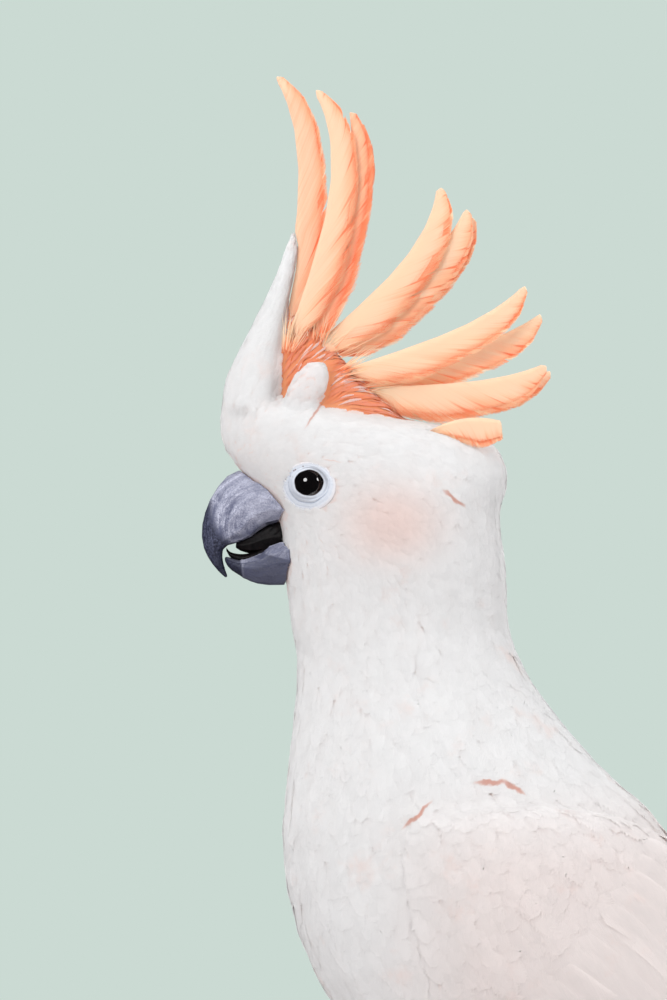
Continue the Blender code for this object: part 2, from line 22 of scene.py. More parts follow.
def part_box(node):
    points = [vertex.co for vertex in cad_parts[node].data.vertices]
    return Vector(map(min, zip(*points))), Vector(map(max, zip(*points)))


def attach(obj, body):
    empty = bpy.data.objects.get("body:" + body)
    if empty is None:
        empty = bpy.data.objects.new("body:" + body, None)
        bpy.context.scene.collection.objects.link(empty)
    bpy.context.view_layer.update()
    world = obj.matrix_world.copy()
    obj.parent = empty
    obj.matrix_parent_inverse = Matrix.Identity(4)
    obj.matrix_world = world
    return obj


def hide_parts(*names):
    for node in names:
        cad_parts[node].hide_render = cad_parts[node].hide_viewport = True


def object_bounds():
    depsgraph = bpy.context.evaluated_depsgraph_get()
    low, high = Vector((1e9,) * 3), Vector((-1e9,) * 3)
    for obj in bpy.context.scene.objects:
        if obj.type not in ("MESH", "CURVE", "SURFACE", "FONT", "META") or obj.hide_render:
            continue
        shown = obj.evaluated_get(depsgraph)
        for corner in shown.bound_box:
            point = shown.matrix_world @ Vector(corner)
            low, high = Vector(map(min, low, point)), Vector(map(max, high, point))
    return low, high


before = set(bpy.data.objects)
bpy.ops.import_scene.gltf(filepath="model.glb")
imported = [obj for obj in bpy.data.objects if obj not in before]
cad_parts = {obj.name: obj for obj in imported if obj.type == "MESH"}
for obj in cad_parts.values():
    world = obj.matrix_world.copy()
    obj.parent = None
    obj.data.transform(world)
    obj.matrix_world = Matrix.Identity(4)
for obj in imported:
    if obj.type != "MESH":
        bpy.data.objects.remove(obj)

cad_box = [list(corner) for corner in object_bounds()]
MM = 0.001
SIGN = {"left": -1, "right": 1}  # the side of the body on which a piece lies
print("solid model:", [round((high - low) / MM, 1) for low, high in zip(*cad_box)], "mm")


def unit(v):
    return v / np.maximum(np.linalg.norm(v, axis=-1, keepdims=True), 1e-9)


def smooth_step(x, low, high):
    x = np.clip((x - low) / (high - low), 0, 1)
    return x * x * (3 - 2 * x)


def bell(x, middle, width):
    """1 at the middle, fading to both sides."""
    return np.exp(-(((x - middle) / width) ** 2))


def box_of(node):
    """Lowest and highest corner of a node, in millimetres."""
    low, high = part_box(node)
    return np.array(low) / MM, np.array(high) / MM


def middle_of(node):
    low, high = box_of(node)
    return (low + high) / 2


def mesh_of(node):
    """A node's points in millimetres and its triangles."""
    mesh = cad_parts[node].data
    mesh.calc_loop_triangles()
    points = np.empty(len(mesh.vertices) * 3, np.float32)
    mesh.vertices.foreach_get("co", points)
    corners = np.empty(len(mesh.loop_triangles) * 3, np.int32)
    mesh.loop_triangles.foreach_get("vertices", corners)
    return points.reshape(-1, 3).astype(float) / MM, corners.reshape(-1, 3)


def tree_of(points, faces):
    """A surface that can be asked what is near or in the way."""
    return BVHTree.FromPolygons([Vector(p) for p in points], [tuple(int(i) for i in f) for f in faces])


@cache
def tree_at(node):
    return tree_of(*mesh_of(node))


def distance_to(nodes, points):
    """From each point to the nearest of these nodes."""
    trees = [tree_at(node) for node in nodes]
    return np.array([min(tree.find_nearest(Vector(p))[3] for tree in trees) for p in points])


def from_side(tree, x, z, sign, start=60.0):
    """What a level ray from one side of the bird meets: place, normal, face and distance."""
    return tree.ray_cast(Vector((x, sign * start, z)), Vector((0, -sign, 0)))


# %% [markdown]
# ## From arrays to a piece
#
# Thousands of feathers are quickest to make as arrays of points and faces, which one
# call hands to Blender. Numbers that differ from place to place, such as how far a point
# is along its feather, go with the points as attributes, and the materials read them.
# Each corner also gets a place on a map named OFBake, which keeps every feather's colours
# apart when the materials are baked.

# %% Pieces
def piece(name, points, faces, finish, marks=None, places=None, normals=None):
    """A mesh object that rides with the bird. Points are in millimetres."""
    mesh = bpy.data.meshes.new(name)
    faces = np.asarray(faces)
    mesh.vertices.add(len(points))
    mesh.vertices.foreach_set("co", (np.asarray(points) * MM).astype(np.float32).ravel())
    mesh.loops.add(faces.size)
    mesh.loops.foreach_set("vertex_index", faces.astype(np.int32).ravel())
    mesh.polygons.add(len(faces))
    mesh.polygons.foreach_set("loop_start", np.arange(len(faces), dtype=np.int32) * faces.shape[1])
    mesh.polygons.foreach_set("use_smooth", np.full(len(faces), True))
    mesh.update(calc_edges=True)
    for mark, values in (marks or {}).items():
        layer = mesh.attributes.new(mark, "FLOAT", "POINT")
        layer.data.foreach_set("value", np.asarray(values, np.float32).ravel())
    if places is not None:
        layer = mesh.uv_layers.new(name="OFBake")
        layer.data.foreach_set("uv", np.asarray(places, np.float32)[faces.ravel()].ravel())
    if normals is not None:
        mesh.normals_split_custom_set_from_vertices(normals)
    mesh.materials.append(finish)
    obj = bpy.data.objects.new(name, mesh)
    bpy.context.scene.collection.objects.link(obj)
    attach(obj, "root")
    return obj


# %% [markdown]
# ## Materials as sums
#
# A material is a small graph. Written as node after node it is hard to read, so one class
# stands for a socket and lets Python's own signs add the Math nodes. Any other node comes
# from one method.

# %% Sockets that add up
class Wire:
    """One output of a node. Arithmetic on it adds Math nodes."""

    def __init__(self, finish, socket):
        self.finish = finish
        self.socket = socket

    def math(self, operation, first, second):
        return self.finish.node("ShaderNodeMath", {"operation": operation}, {0: first, 1: second})

    def __add__(self, other):
        return self.math("ADD", self, other)

    def __sub__(self, other):
        return self.math("SUBTRACT", self, other)

    def __rsub__(self, other):
        return self.math("SUBTRACT", other, self)

    def __mul__(self, other):
        return self.math("MULTIPLY", self, other)

    def __pow__(self, other):
        return self.math("POWER", self, other)

    __radd__ = __add__
    __rmul__ = __mul__

    def between(self, low, high):
        """0 at low and below, 1 at high and above, and smooth between them."""
        settings = {"interpolation_type": "SMOOTHSTEP"}
        return self.finish.node("ShaderNodeMapRange", settings, {0: self, 1: low, 2: high})


class Finish:
    """The nodes of a material, or of the room's light, and the methods that add to them."""

    def __init__(self, owner):
        self.owner = bpy.data.materials.new(owner) if isinstance(owner, str) else owner
        self.owner.use_nodes = True
        self.tree = self.owner.node_tree
        self.tree.nodes.clear()

    def node(self, kind, settings=None, sockets=None, output=0):
        made = self.tree.nodes.new(kind)
        for name, value in (settings or {}).items():
            setattr(made, name, value)
        for name, value in (sockets or {}).items():
            if isinstance(value, Wire):
                self.tree.links.new(value.socket, made.inputs[name])
            else:
                made.inputs[name].default_value = value
        return Wire(self, made.outputs[output]) if len(made.outputs) else None

    def mark(self, name):
        """A number that goes with the mesh's points."""
        return self.node("ShaderNodeAttribute", {"attribute_name": name}, output=2)

    def place(self, scale=(1.0, 1.0, 1.0)):
        """The point's own place in metres, stretched."""
        here = self.node("ShaderNodeTexCoord", output=3)
        return self.node("ShaderNodeVectorMath", {"operation": "MULTIPLY"}, {0: here, 1: scale})

    def vector(self, x, y, z):
        return self.node("ShaderNodeCombineXYZ", None, {0: x, 1: y, 2: z})

    def noise(self, where, scale, detail=2.0, rough=0.5):
        sockets = {"Vector": where, "Scale": scale, "Detail": detail, "Roughness": rough}
        return self.node("ShaderNodeTexNoise", None, sockets)

    def cells(self, feature, scale):
        """Distances in a pattern of scattered cells."""
        sockets = {"Vector": self.place(), "Scale": scale, "Randomness": 1.0}
        return self.node("ShaderNodeTexVoronoi", {"feature": feature}, sockets)

    def blend(self, share, first, second):
        """A colour between two others."""
        settings = {"data_type": "RGBA", "clamp_factor": True}
        return self.node("ShaderNodeMix", settings, {0: share, 6: first, 7: second}, output=2)

    def bump(self, height, depth):
        """Fine relief, its depth in millimetres."""
        return self.node("ShaderNodeBump", None, {"Distance": depth * MM, "Height": height})

    def mixed(self, share, first, second):
        return self.node("ShaderNodeMixShader", None, {0: share, 1: first, 2: second})

    def shade(self, colour, roughness, sockets=None):
        """How the surface throws light back."""
        sockets = {"Base Color": colour, "Roughness": roughness, **(sockets or {})}
        return self.node("ShaderNodeBsdfPrincipled", None, sockets)

    def surface(self, shade, glow=None, share=0.0):
        """The finished surface, with light let through from behind where glow is given."""
        if glow is not None:
            through = self.node("ShaderNodeBsdfTranslucent", None, {"Color": glow})
            shade = self.mixed(share, shade, through)
        self.node("ShaderNodeOutputMaterial", None, {"Surface": shade})
        return self.owner


def paint(red, green, blue):
    """A colour as a paint chart gives it, 0 to 255, in the linear light that nodes use."""
    parts = [c / 255 for c in (red, green, blue)]
    linear = [p / 12.92 if p <= 0.04045 else ((p + 0.055) / 1.055) ** 2.4 for p in parts]
    return (*linear, 1.0)


# %% [markdown]
# ## Feather white
#
# A white cockatoo's feather is white at the end and faintly salmon at its root, where the
# down shows. Each feather differs a little in brightness, and its barbs, the fine hairs
# that make the vane, catch the light one by one. Noise read along the barbs gives those
# lines in colour and in relief. The mark "tint" carries the markings: the blush on the
# cheek and the deep orange under the crest.

# %% Feather colours and barbs
FEATHER_WHITE = paint(249, 249, 249)
DOWN_SALMON = paint(250, 186, 158)
CREST_LIGHT = paint(255, 240, 214)
CREST_MIDDLE = paint(255, 220, 182)
CREST_DEEP = paint(253, 164, 122)
ROOT_ORANGE = paint(255, 176, 130)
# the down's salmon darkened with painted shade, for the crevice of a parting
PARTING_DOWN_AND_SHADE = paint(228, 168, 146)


def barb_lines(finish, fineness):
    """Noise that runs along each barb and differs from feather to feather."""
    seed = finish.mark("seed")
    across = finish.mark("barb") * fineness + seed * 91.0
    return finish.noise(finish.vector(across, finish.mark("along") * 1.5, seed * 37.0), 1.0, 2.0, 0.6)


print("salmon down in linear light:", [round(part, 2) for part in DOWN_SALMON[:3]])

# %% [markdown]
# ## Partings in the coat
#
# In a few places white feathers part, and the salmon down between them shows as a thin
# line in a shaded crevice. Feathers could be pushed aside there, but a line of colour
# across them is simpler: the down's salmon with the crevice's painted shade in it. Each
# one is a narrow lens with a slight wave, and feathers and skin share it.

# %% Partings
EYE = middle_of("eye_left")
# Ends back from the eye and up from it, half width and how faint it is.
PARTINGS = (
    ((28.7, -104.6), (36.9, -96.4), 0.85, 0.0),  # at the bend of the wing
    ((50.3, -91.0), (60.4, -90.6), 0.85, 0.0),  # over the shoulder
    ((58.8, -90.2), (65.4, -94.4), 0.85, 0.0),
    ((41.3, -2.3), (47.5, -7.3), 0.85, 0.0),  # on the nape
    ((-1.4, 16.2), (5.6, 26.8), 0.55, 0.2),  # between the white lobe and the crown
    ((2.2, 7.6), (12.2, 6.0), 0.4, 0.65),  # a fold over the eye
)


def parting_share(finish):
    """1 in the middle of a parting and 0 outside it. Each parting is a slightly wavy lens."""
    here = finish.place()
    wave = (finish.noise(here, 330.0, 2.0) - 0.5) * 2.8
    back = finish.node("ShaderNodeSeparateXYZ", None, {0: here}, output=0) * 1000.0
    up = finish.node("ShaderNodeSeparateXYZ", None, {0: here}, output=2) * 1000.0
    least = 9.0
    for start, end, width, faint in PARTINGS:
        start, end = np.array(start), np.array(end)
        middle = (start + end) / 2 + EYE[[0, 2]]
        half = np.linalg.norm(end - start) / 2 + 0.8
        way = (end - start) / np.linalg.norm(end - start)
        along = (back - middle[0]) * way[0] + (up - middle[1]) * way[1]
        off = (up - middle[1]) * way[0] - (back - middle[0]) * way[1] + wave * width
        away = (along * (1 / half)) ** 2.0 + (off * (1 / width)) ** 2.0 + faint
        least = away.math("MINIMUM", away, least)
    return 1.0 - least.between(0.0, 1.15)


print(len(PARTINGS), "partings")

# %% [markdown]
# ## White, peach and skin
#
# The white finish adds faint clouds of salmon. A crest feather is peach, and its deeper
# colour comes in streaks along its barbs. The skin takes the white feathers' colours, so
# that it doesn't stand out where it shows between them.

# %% Feather finishes
def white_feather():
    finish = Finish("feather_white")
    lines = barb_lines(finish, 26.0)
    tint = finish.mark("tint")
    root = (1.0 - finish.mark("along").between(0.05, 0.45)) * 0.2
    colour = finish.blend(root, FEATHER_WHITE, DOWN_SALMON)
    colour = finish.blend(tint, colour, DOWN_SALMON)
    colour = finish.blend(tint - 1.0, colour, ROOT_ORANGE)
    clouds = finish.noise(finish.place(), 75.0, 4.0, 0.65)
    colour = finish.blend(clouds.between(0.56, 0.78) * 0.11, colour, DOWN_SALMON)
    # painted crevice shade over the salmon down along each parting
    colour = finish.blend(parting_share(finish) * 0.75, colour, PARTING_DOWN_AND_SHADE)
    shade = 1.0 - (lines - 0.5) * 0.10 - finish.mark("seed") * 0.035
    value = finish.node("ShaderNodeHueSaturation", None, {"Value": shade, "Color": colour})
    soft = {"Specular IOR Level": 0.18, "Sheen Weight": 0.3, "Sheen Roughness": 0.5}
    shade = finish.shade(value, 0.88, {"Normal": finish.bump(lines, 0.10), **soft})
    return finish.surface(shade, glow=value, share=0.52)


def crest_feather_finish():
    finish = Finish("crest_feather")
    lines = barb_lines(finish, 120.0)
    broad = barb_lines(finish, 22.0)
    deep = finish.mark("deep")
    along = finish.mark("along")
    streaks = (lines - 0.5) * 0.7 + (broad - 0.5) * 0.5
    colour = finish.blend((deep + streaks).between(0.0, 0.55), CREST_LIGHT, CREST_MIDDLE)
    colour = finish.blend((deep + streaks * 0.8).between(0.45, 1.05), colour, CREST_DEEP)
    root = 1.0 - (along + streaks * 0.12).between(-0.02, 0.13)
    colour = finish.blend(root * 0.75, colour, ROOT_ORANGE)
    colour = finish.blend(along.between(0.9, 1.08) * 0.3, colour, paint(255, 226, 208))
    soft = {"Specular IOR Level": 0.2, "Sheen Weight": 0.1}
    shade = finish.shade(colour, 0.75, {"Normal": finish.bump(lines, 0.12), **soft})
    return finish.surface(shade, glow=colour, share=0.5)


def skin_finish():
    finish = Finish("skin")
    grain = finish.noise(finish.place(), 900.0, 3.0)
    colour = finish.blend(finish.mark("tint"), FEATHER_WHITE, DOWN_SALMON)
    colour = finish.blend(finish.mark("tint") - 1.0, colour, ROOT_ORANGE)
    colour = finish.blend((grain - 0.4) * 0.1, colour, DOWN_SALMON)
    # painted crevice shade over the salmon down along each parting
    colour = finish.blend(parting_share(finish) * 0.75, colour, PARTING_DOWN_AND_SHADE)
    shade = finish.shade(colour, 0.9, {"Specular IOR Level": 0.1, "Normal": finish.bump(grain, 0.12)})
    return finish.surface(shade, glow=colour, share=0.45)


FEATHER = white_feather()
CREST = crest_feather_finish()
SKIN = skin_finish()
print("feather finishes made")

# %% [markdown]
# ## One skin
#
# The solids of head, neck, trunk, wings, thighs and tail only touch, and seams would show
# between them. A voxel remesh takes all of them as one volume and wraps it in an even
# mesh. It is then smoothed and drawn inwards by the depth of the coat, less where the
# body is thin, so that the feathers on top come out level with the solids.

# %% The skin's mesh
FLESH = (
    "head", "neck", "trunk", "tail", "wing_left", "wing_right", "thigh_left", "thigh_right",
    "forehead_tuft", "crest_bed", "crown_lobe_left", "crown_lobe_right",
)
SKIN_VOXEL = 1.4


def wrapped(nodes, voxel):
    """One even mesh round all these nodes, as points and quads."""
    points, faces, first = [], [], 0
    for node in nodes:
        p, f = mesh_of(node)
        points.append(p)
        faces.append(f + first)
        first += len(p)
    mesh = bpy.data.meshes.new("wrap")
    mesh.from_pydata(np.concatenate(points) * MM, [], np.concatenate(faces).tolist())
    obj = bpy.data.objects.new("wrap", mesh)
    bpy.context.scene.collection.objects.link(obj)
    remesh = obj.modifiers.new("wrap", "REMESH")
    remesh.mode = "VOXEL"
    remesh.voxel_size = voxel * MM
    graph = bpy.context.evaluated_depsgraph_get()
    result = bpy.data.meshes.new_from_object(obj.evaluated_get(graph))
    bpy.data.objects.remove(obj)
    co = np.empty(len(result.vertices) * 3, np.float32)
    result.vertices.foreach_get("co", co)
    corners = np.empty(len(result.loops), np.int32)
    result.loops.foreach_get("vertex_index", corners)
    bpy.data.meshes.remove(result)
    return co.reshape(-1, 3).astype(float) / MM, corners.reshape(-1, 4)


def edges_of(faces):
    rims = np.concatenate([faces[:, [i, (i + 1) % faces.shape[1]]] for i in range(faces.shape[1])])
    return np.unique(np.sort(rims, axis=1), axis=0)


def relaxed(points, faces, rounds, pull=0.5, push=-0.52):
    """Smooths without shrinking: each round pulls points to their neighbours, then pushes back."""
    edges = edges_of(faces)
    ends = np.concatenate([edges, edges[:, ::-1]])
    share = np.bincount(ends[:, 0], minlength=len(points))[:, None]
    for k in range(2 * rounds):
        total = np.stack([np.bincount(ends[:, 0], points[ends[:, 1], i], len(points)) for i in range(3)], 1)
        points = points + (pull if k % 2 == 0 else push) * (total / share - points)
    return points


def normals_of(points, faces):
    a, b = points[faces[:, 2]] - points[faces[:, 0]], points[faces[:, -1]] - points[faces[:, 1]]
    if faces.shape[1] == 3:
        a, b = points[faces[:, 1]] - points[faces[:, 0]], points[faces[:, 2]] - points[faces[:, 0]]
    face_normals = np.repeat(np.cross(a, b), faces.shape[1], axis=0)
    return unit(np.stack([np.bincount(faces.ravel(), face_normals[:, i], len(points)) for i in range(3)], 1))


def smoothed(nodes, voxel, rounds):
    """These nodes wrapped and smoothed: points, quads and normals."""
    points, faces = wrapped(nodes, voxel)
    points = relaxed(points, faces, rounds)
    return points, faces, normals_of(points, faces)


skin_points, skin_faces, skin_normals = smoothed(FLESH, SKIN_VOXEL, 5)
print("skin:", len(skin_points), "points", len(skin_faces), "quads")

# %% [markdown]
# ## Which way feathers lie
#
# Feathers start at the bill and run back over the head, down the neck and along the body
# to the tail. A few guides placed over the bird's side say, for the skin round them,
# which way the feathers point, how long and wide they are, how far apart they stand and
# how deep the coat is. Anywhere else the nearest guides are blended. Writing a rule for
# the whole body would need as many exceptions as guides, and combing by hand couldn't be
# changed by editing a number.

# %% Guides for the coat
# Back from the eye and up from it, heading (0 is straight back, 90 straight down), length,
# half width, spacing, depth of the coat.
GUIDES = np.array(
    [
        (-26, 14, -72, 5.0, 1.5, 1.7, 0.9),  # forehead over the bill
        (-24, 24, -66, 6.5, 1.7, 1.9, 1.2),
        (-20, 36, -62, 9.0, 1.8, 2.1, 1.2),  # tuft in front of the crest
        (-11, 60, -66, 11.0, 1.8, 2.1, 0.9),
        (-6, 76, -70, 9.0, 1.4, 1.8, 0.5),
        (-13, 4, -20, 2.6, 0.9, 1.1, 0.5),  # between bill and eye
        (-9, 9, -35, 3.4, 1.1, 1.3, 0.7),
        (-2, 12, -28, 5.0, 1.5, 1.7, 1.0),  # brow
        (2, 20, -40, 6.0, 1.8, 2.0, 1.1),
        (14, 14, -8, 6.0, 1.7, 2.0, 1.1),
        (12, 2, 6, 4.6, 1.4, 1.6, 1.0),  # behind the eye
        (26, 16, 4, 7.5, 2.2, 2.5, 1.5),
        (36, 4, 24, 8.0, 2.6, 2.7, 1.6),
        (50, 12, 40, 9.0, 3.0, 3.0, 1.8),
        (58, 0, 68, 9.0, 3.2, 3.2, 2.0),  # nape
        (-2, -10, 22, 3.6, 1.2, 1.4, 0.7),  # under the eye
        (-6, -17, 52, 3.8, 1.2, 1.4, 0.8),  # corner of the mouth
        (-4, -26, 78, 5.2, 1.5, 1.8, 1.0),  # chin
        (12, -13, 24, 6.0, 1.7, 2.0, 1.1),  # cheek
        (26, -10, 30, 7.0, 2.0, 2.3, 1.3),
        (20, -28, 58, 7.5, 2.1, 2.4, 1.4),
        (44, -16, 62, 9.0, 2.8, 2.9, 1.8),
        (58, -24, 84, 10.0, 3.2, 3.3, 2.0),
        (-5, -44, 90, 8.0, 2.2, 2.6, 1.6),  # throat
        (26, -44, 78, 9.5, 2.6, 2.9, 1.9),
        (60, -46, 84, 11.0, 3.2, 3.4, 2.2),
        (-3, -74, 92, 11.0, 2.8, 3.2, 2.2),  # foot of the neck
        (34, -72, 76, 12.0, 3.2, 3.5, 2.4),
        (74, -70, 62, 13.0, 3.8, 3.9, 2.4),
        (-6, -112, 88, 13.0, 3.4, 3.8, 2.6),  # breast
        (22, -116, 74, 14.0, 3.8, 4.0, 2.6),
        (54, -100, 62, 13.0, 4.2, 4.2, 2.4),  # shoulder
        (92, -92, 48, 15.0, 4.8, 4.7, 2.4),  # mantle
        (12, -160, 62, 15.0, 3.8, 4.2, 2.8),
        (42, -188, 40, 16.0, 4.0, 4.4, 2.8),  # belly
        (76, -206, 27, 17.0, 4.2, 4.6, 2.6),
        (120, -222, 21, 18.0, 4.4, 4.8, 2.2),
        (152, -232, 20, 20.0, 4.6, 5.2, 1.6),  # under the tail
        (76, -138, 48, 16.0, 4.8, 4.8, 2.2),  # wing
        (112, -112, 52, 17.0, 5.2, 5.2, 2.4),
        (128, -146, 54, 18.0, 5.4, 5.4, 2.2),
        (150, -182, 56, 18.0, 5.2, 5.4, 2.0),  # rump
        (172, -208, 50, 18.0, 4.8, 5.2, 1.6),
        (88, -196, 74, 11.0, 3.0, 3.4, 1.8),  # thigh
        (84, -226, 80, 7.0, 2.2, 2.6, 1.2),
    ]
)
GUIDE_REACH = 5.0
# The guides' numbers were set for a looser coat. These shares of length, half width,
# spacing and depth make it a close one.
CLOSENESS = (1.0, 0.92, 0.56, 0.5)


def lie(points):
    """For each point: feather direction, and length, half width, spacing and coat depth."""
    side = np.stack([points[:, 0] - EYE[0], points[:, 2] - EYE[2]], 1)
    away = ((side[:, None] - GUIDES[None, :, :2]) ** 2).sum(2)
    weight = 1.0 / (away + GUIDE_REACH**2) ** 2
    weight /= weight.sum(1, keepdims=True)
    turn = np.radians(GUIDES[:, 2])
    heading = np.stack([weight @ np.cos(turn), np.zeros(len(points)), -(weight @ np.sin(turn))], 1)
    return unit(heading), weight @ GUIDES[:, 3:] * CLOSENESS


print(len(GUIDES), "guides")

# %% [markdown]
# ## Room for the coat
#
# The skin sinks by the depth of the coat, less where the body is thin, at the bill and on
# the small lobes of the crown. Along the front of a wing it sinks more, because a folded
# wing lies in a groove of the breast.

# %% How far the skin is drawn in
LOBES = ("crown_lobe_left", "crown_lobe_right")
BILLS = ("bill_upper", "bill_lower")
WINGS = ("wing_left", "wing_right")
THIN_SHARE = 0.36  # the most that the skin sinks, as a share of the body's thickness
GROOVE_DEPTH = 2.2
GROOVE_AT = 0.9  # from the wing's edge to the middle of the groove

skin_tree = tree_of(skin_points, skin_faces)
thickness = np.full(len(skin_points), 40.0)
for i, (p, n) in enumerate(zip(skin_points, skin_normals)):
    hit = skin_tree.ray_cast(Vector(p - n * 0.05), Vector(-n))
    if hit[3] is not None:
        thickness[i] = hit[3]
drawn_in = np.minimum(lie(skin_points)[1][:, 3], THIN_SHARE * thickness)
back, up = skin_points[:, 0] - EYE[0], skin_points[:, 2] - EYE[2]
at_lobe = (up > 8) & (back < 30)
drawn_in[at_lobe] *= np.where(distance_to(LOBES, skin_points[at_lobe]) < 0.6, 0.3, 1.0)
at_bill = back < 8
drawn_in[at_bill] *= 0.15 + 0.85 * smooth_step(distance_to(BILLS, skin_points[at_bill]), 0.5, 5.0)
at_wing = (up < -102) & (back < 62) & (np.abs(skin_points[:, 1]) > 15)
nearer = distance_to(WINGS, skin_points[at_wing]) - distance_to(["trunk"], skin_points[at_wing])
groove = bell(nearer, GROOVE_AT, GROOVE_AT)
drawn_in[at_wing] += GROOVE_DEPTH * (1 - smooth_step(back[at_wing], 40, 62)) * groove
for _ in range(3):
    edges = edges_of(skin_faces)
    total = np.bincount(edges.ravel(), drawn_in[edges[:, ::-1].ravel()], len(drawn_in))
    drawn_in = 0.5 * drawn_in + 0.5 * total / np.bincount(edges.ravel(), minlength=len(drawn_in))
skin_points = skin_points - skin_normals * drawn_in[:, None]
skin_tree = tree_of(skin_points, skin_faces)
print("coat depth:", round(drawn_in.min(), 2), "to", round(drawn_in.max(), 2), "mm")

# %% [markdown]
# ## Markings
#
# The bird is white, with a salmon blush on the cheek and deep orange down under the
# crest. Towards the lower rear of the body a faint salmon is painted shade. Markings are a
# function of where a point is on the bird, so skin and feathers agree. Paint on a flat map
# would have to be matched to both.

# %% Markings
BED = ("crest_bed",)
BLUSH_AT = EYE + np.array([25.4, 0.0, -12.4])
BLUSH_HALF = (16.0, 13.0)
BLUSH_DEPTH = 0.23
# painted shade: faint salmon, growing towards the rear and low on the body
LOWER_SHADE_DEPTH = 0.10  # over the shoulders and back


def markings(points):
    """0 is white, 1 is salmon and 2 is the deep orange under the crest."""
    across = (points[:, 0] - BLUSH_AT[0]) / BLUSH_HALF[0]
    up = (points[:, 2] - BLUSH_AT[2]) / BLUSH_HALF[1]
    blush = BLUSH_DEPTH * np.exp(-1.3 * (across**2 + up**2) ** 1.3) * (np.abs(points[:, 1]) > 8)
    # painted shade low on the rear of the body
    lower_shade = smooth_step(points[:, 0] - EYE[0], 10, 60) * smooth_step(EYE[2] - points[:, 2], 85, 120)
    return blush + LOWER_SHADE_DEPTH * lower_shade


RING_MIDDLE = EYE + np.array([-0.2, 0.0, -1.2])
RING_HALF = np.array([7.7, 6.7])


def ring_share(points):
    """Under 1 on the bare ring round an eye, and far over it near the middle of the head."""
    side = (points - RING_MIDDLE)[..., [0, 2]] / RING_HALF
    return np.linalg.norm(side, axis=-1) + 10.0 * (np.abs(points[..., 1]) < 10)


print("ring round the eye:", 2 * RING_HALF, "mm")

# %% [markdown]
# ## The skin, mapped
#
# The skin is open under the lids, where the bare ring takes its place. It shows between
# the feathers as down, so it is a little warmer than they are. Its flat map is cut into
# islands by Smart UV Project, and every small feather later takes a tiny patch of that
# map at the place of its root.

# %% The skin as a piece
DOWN_TINT = 0.12

open_at = ring_share(skin_points[skin_faces].mean(1)) <= 0.97
skin_faces = skin_faces[~open_at]
whole_skin = skin_tree
skin_tree = tree_of(skin_points, skin_faces)
skin = piece("skin", skin_points, skin_faces, SKIN)
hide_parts(*FLESH)
skin.data.uv_layers.new(name="OFBake")
bpy.context.view_layer.objects.active = skin
skin.select_set(True)
bpy.ops.object.mode_set(mode="EDIT")
bpy.ops.mesh.select_all(action="SELECT")
bpy.ops.uv.smart_project(angle_limit=math.radians(60), island_margin=0.002)
bpy.ops.object.mode_set(mode="OBJECT")
skin.select_set(False)
flat = np.empty(len(skin.data.loops) * 2, np.float32)
skin.data.uv_layers["OFBake"].data.foreach_get("uv", flat)
skin_places = flat.reshape(len(skin_faces), 4, 2).mean(1)
orange = 2.0 * (distance_to(BED, skin_points) < 1.8)
skin_tint = np.maximum(DOWN_TINT + 0.8 * markings(skin_points), orange)
layer = skin.data.attributes.new("tint", "FLOAT", "POINT")
layer.data.foreach_set("value", skin_tint.astype(np.float32))
print("skin:", len(skin_faces), "quads, mapped")

# %% [markdown]
# ## A small feather
#
# A body feather is a soft vane: barbs leave the shaft to both sides and sweep forward,
# and their ends stand free as a fringe. One pattern of shaft points, mid points and barb
# ends is bent to fit each feather, which keeps a feather at a few dozen triangles. A card
# with a painted fringe would be lighter, but its edge would be flat from close by.

# %% The pattern of a vane
def plume(place):
    """The width of a soft body feather along its shaft."""
    return (0.30 + 0.70 * np.sin(0.5 * np.pi * np.minimum(place / 0.5, 1.0))) * (1.0 - 0.78 * place**4)


def vane_pattern(barbs, sweep=0.24, joined=0.66, shape=plume, crowd=0.6):
    """Shares along and across for each point of a vane, each point's barb, and its triangles.

    A crowd under 1 puts more of the barbs near the end, the part that others leave bare.
    """
    root = (np.arange(barbs + 1) / barbs) ** crowd
    place = 0.02 + 0.9 * root
    width = shape(place)
    along, across, barb, faces = [place], [np.zeros(barbs + 1)], [root], []
    first = barbs + 1
    for side in (1, -1):
        ahead = sweep * (1.0 - 0.55 * place)
        along += [place + ahead * joined, (place[1:] + place[:-1]) / 2 + (ahead[1:] + ahead[:-1]) / 2]
        across += [side * joined * width, side * (width[1:] + width[:-1]) / 2]
        barb += [root, (root[1:] + root[:-1]) / 2]
        for i in range(barbs):
            r0, r1, m0, m1, tip = i, i + 1, first + i, first + i + 1, first + barbs + 1 + i
            strip = [(r0, r1, m1), (r0, m1, m0), (m0, m1, tip)]
            faces += strip if side > 0 else [f[::-1] for f in strip]
        first += 2 * barbs + 1
    along.append(np.array([1.04]))
    across.append(np.array([0.0]))
    barb.append(np.array([1.0]))
    right, left = 2 * barbs + 1, 4 * barbs + 2
    faces += [(barbs, first, right), (barbs, left, first)]
    return np.concatenate(along), np.concatenate(across), np.concatenate(barb), np.array(faces)


def read(table, at):
    """Values of evenly spaced stations (second axis) at shares of the way, and past the end."""
    steps = table.shape[1] - 1
    i = np.clip((at * steps).astype(int), 0, steps - 1)
    part = (at * steps - i)[None, :, None]
    return table[:, i] * (1 - part) + table[:, i + 1] * part


# %% [markdown]
# ## Combing the coat
#
# Roots are spread over the skin at the guides' spacing by throwing candidates and keeping
# those far enough from the ones already kept, which gives the even but unruled rows of a
# real coat. From its root each feather walks along the skin, a step at a time, in the
# direction of the lie there, and rises a little on the way, so that it rests on the
# feathers behind it.

# %% Roots
TRIANGLES = np.concatenate([skin_faces[:, [0, 1, 2]], skin_faces[:, [0, 2, 3]]])
QUAD_OF = np.tile(np.arange(len(skin_faces)), 2)
THROWN = 5.0  # candidates for each place in the coat
GAPS = ((0.0, 0.9), (0.9, 1.3), (1.3, 1.9), (1.9, 3.2))  # spacings that are sorted together
BESIDE = list(product((-1, 0, 1), repeat=3))


def smooth_normals(quads):
    return unit(skin_normals[skin_faces[quads]].mean(1))


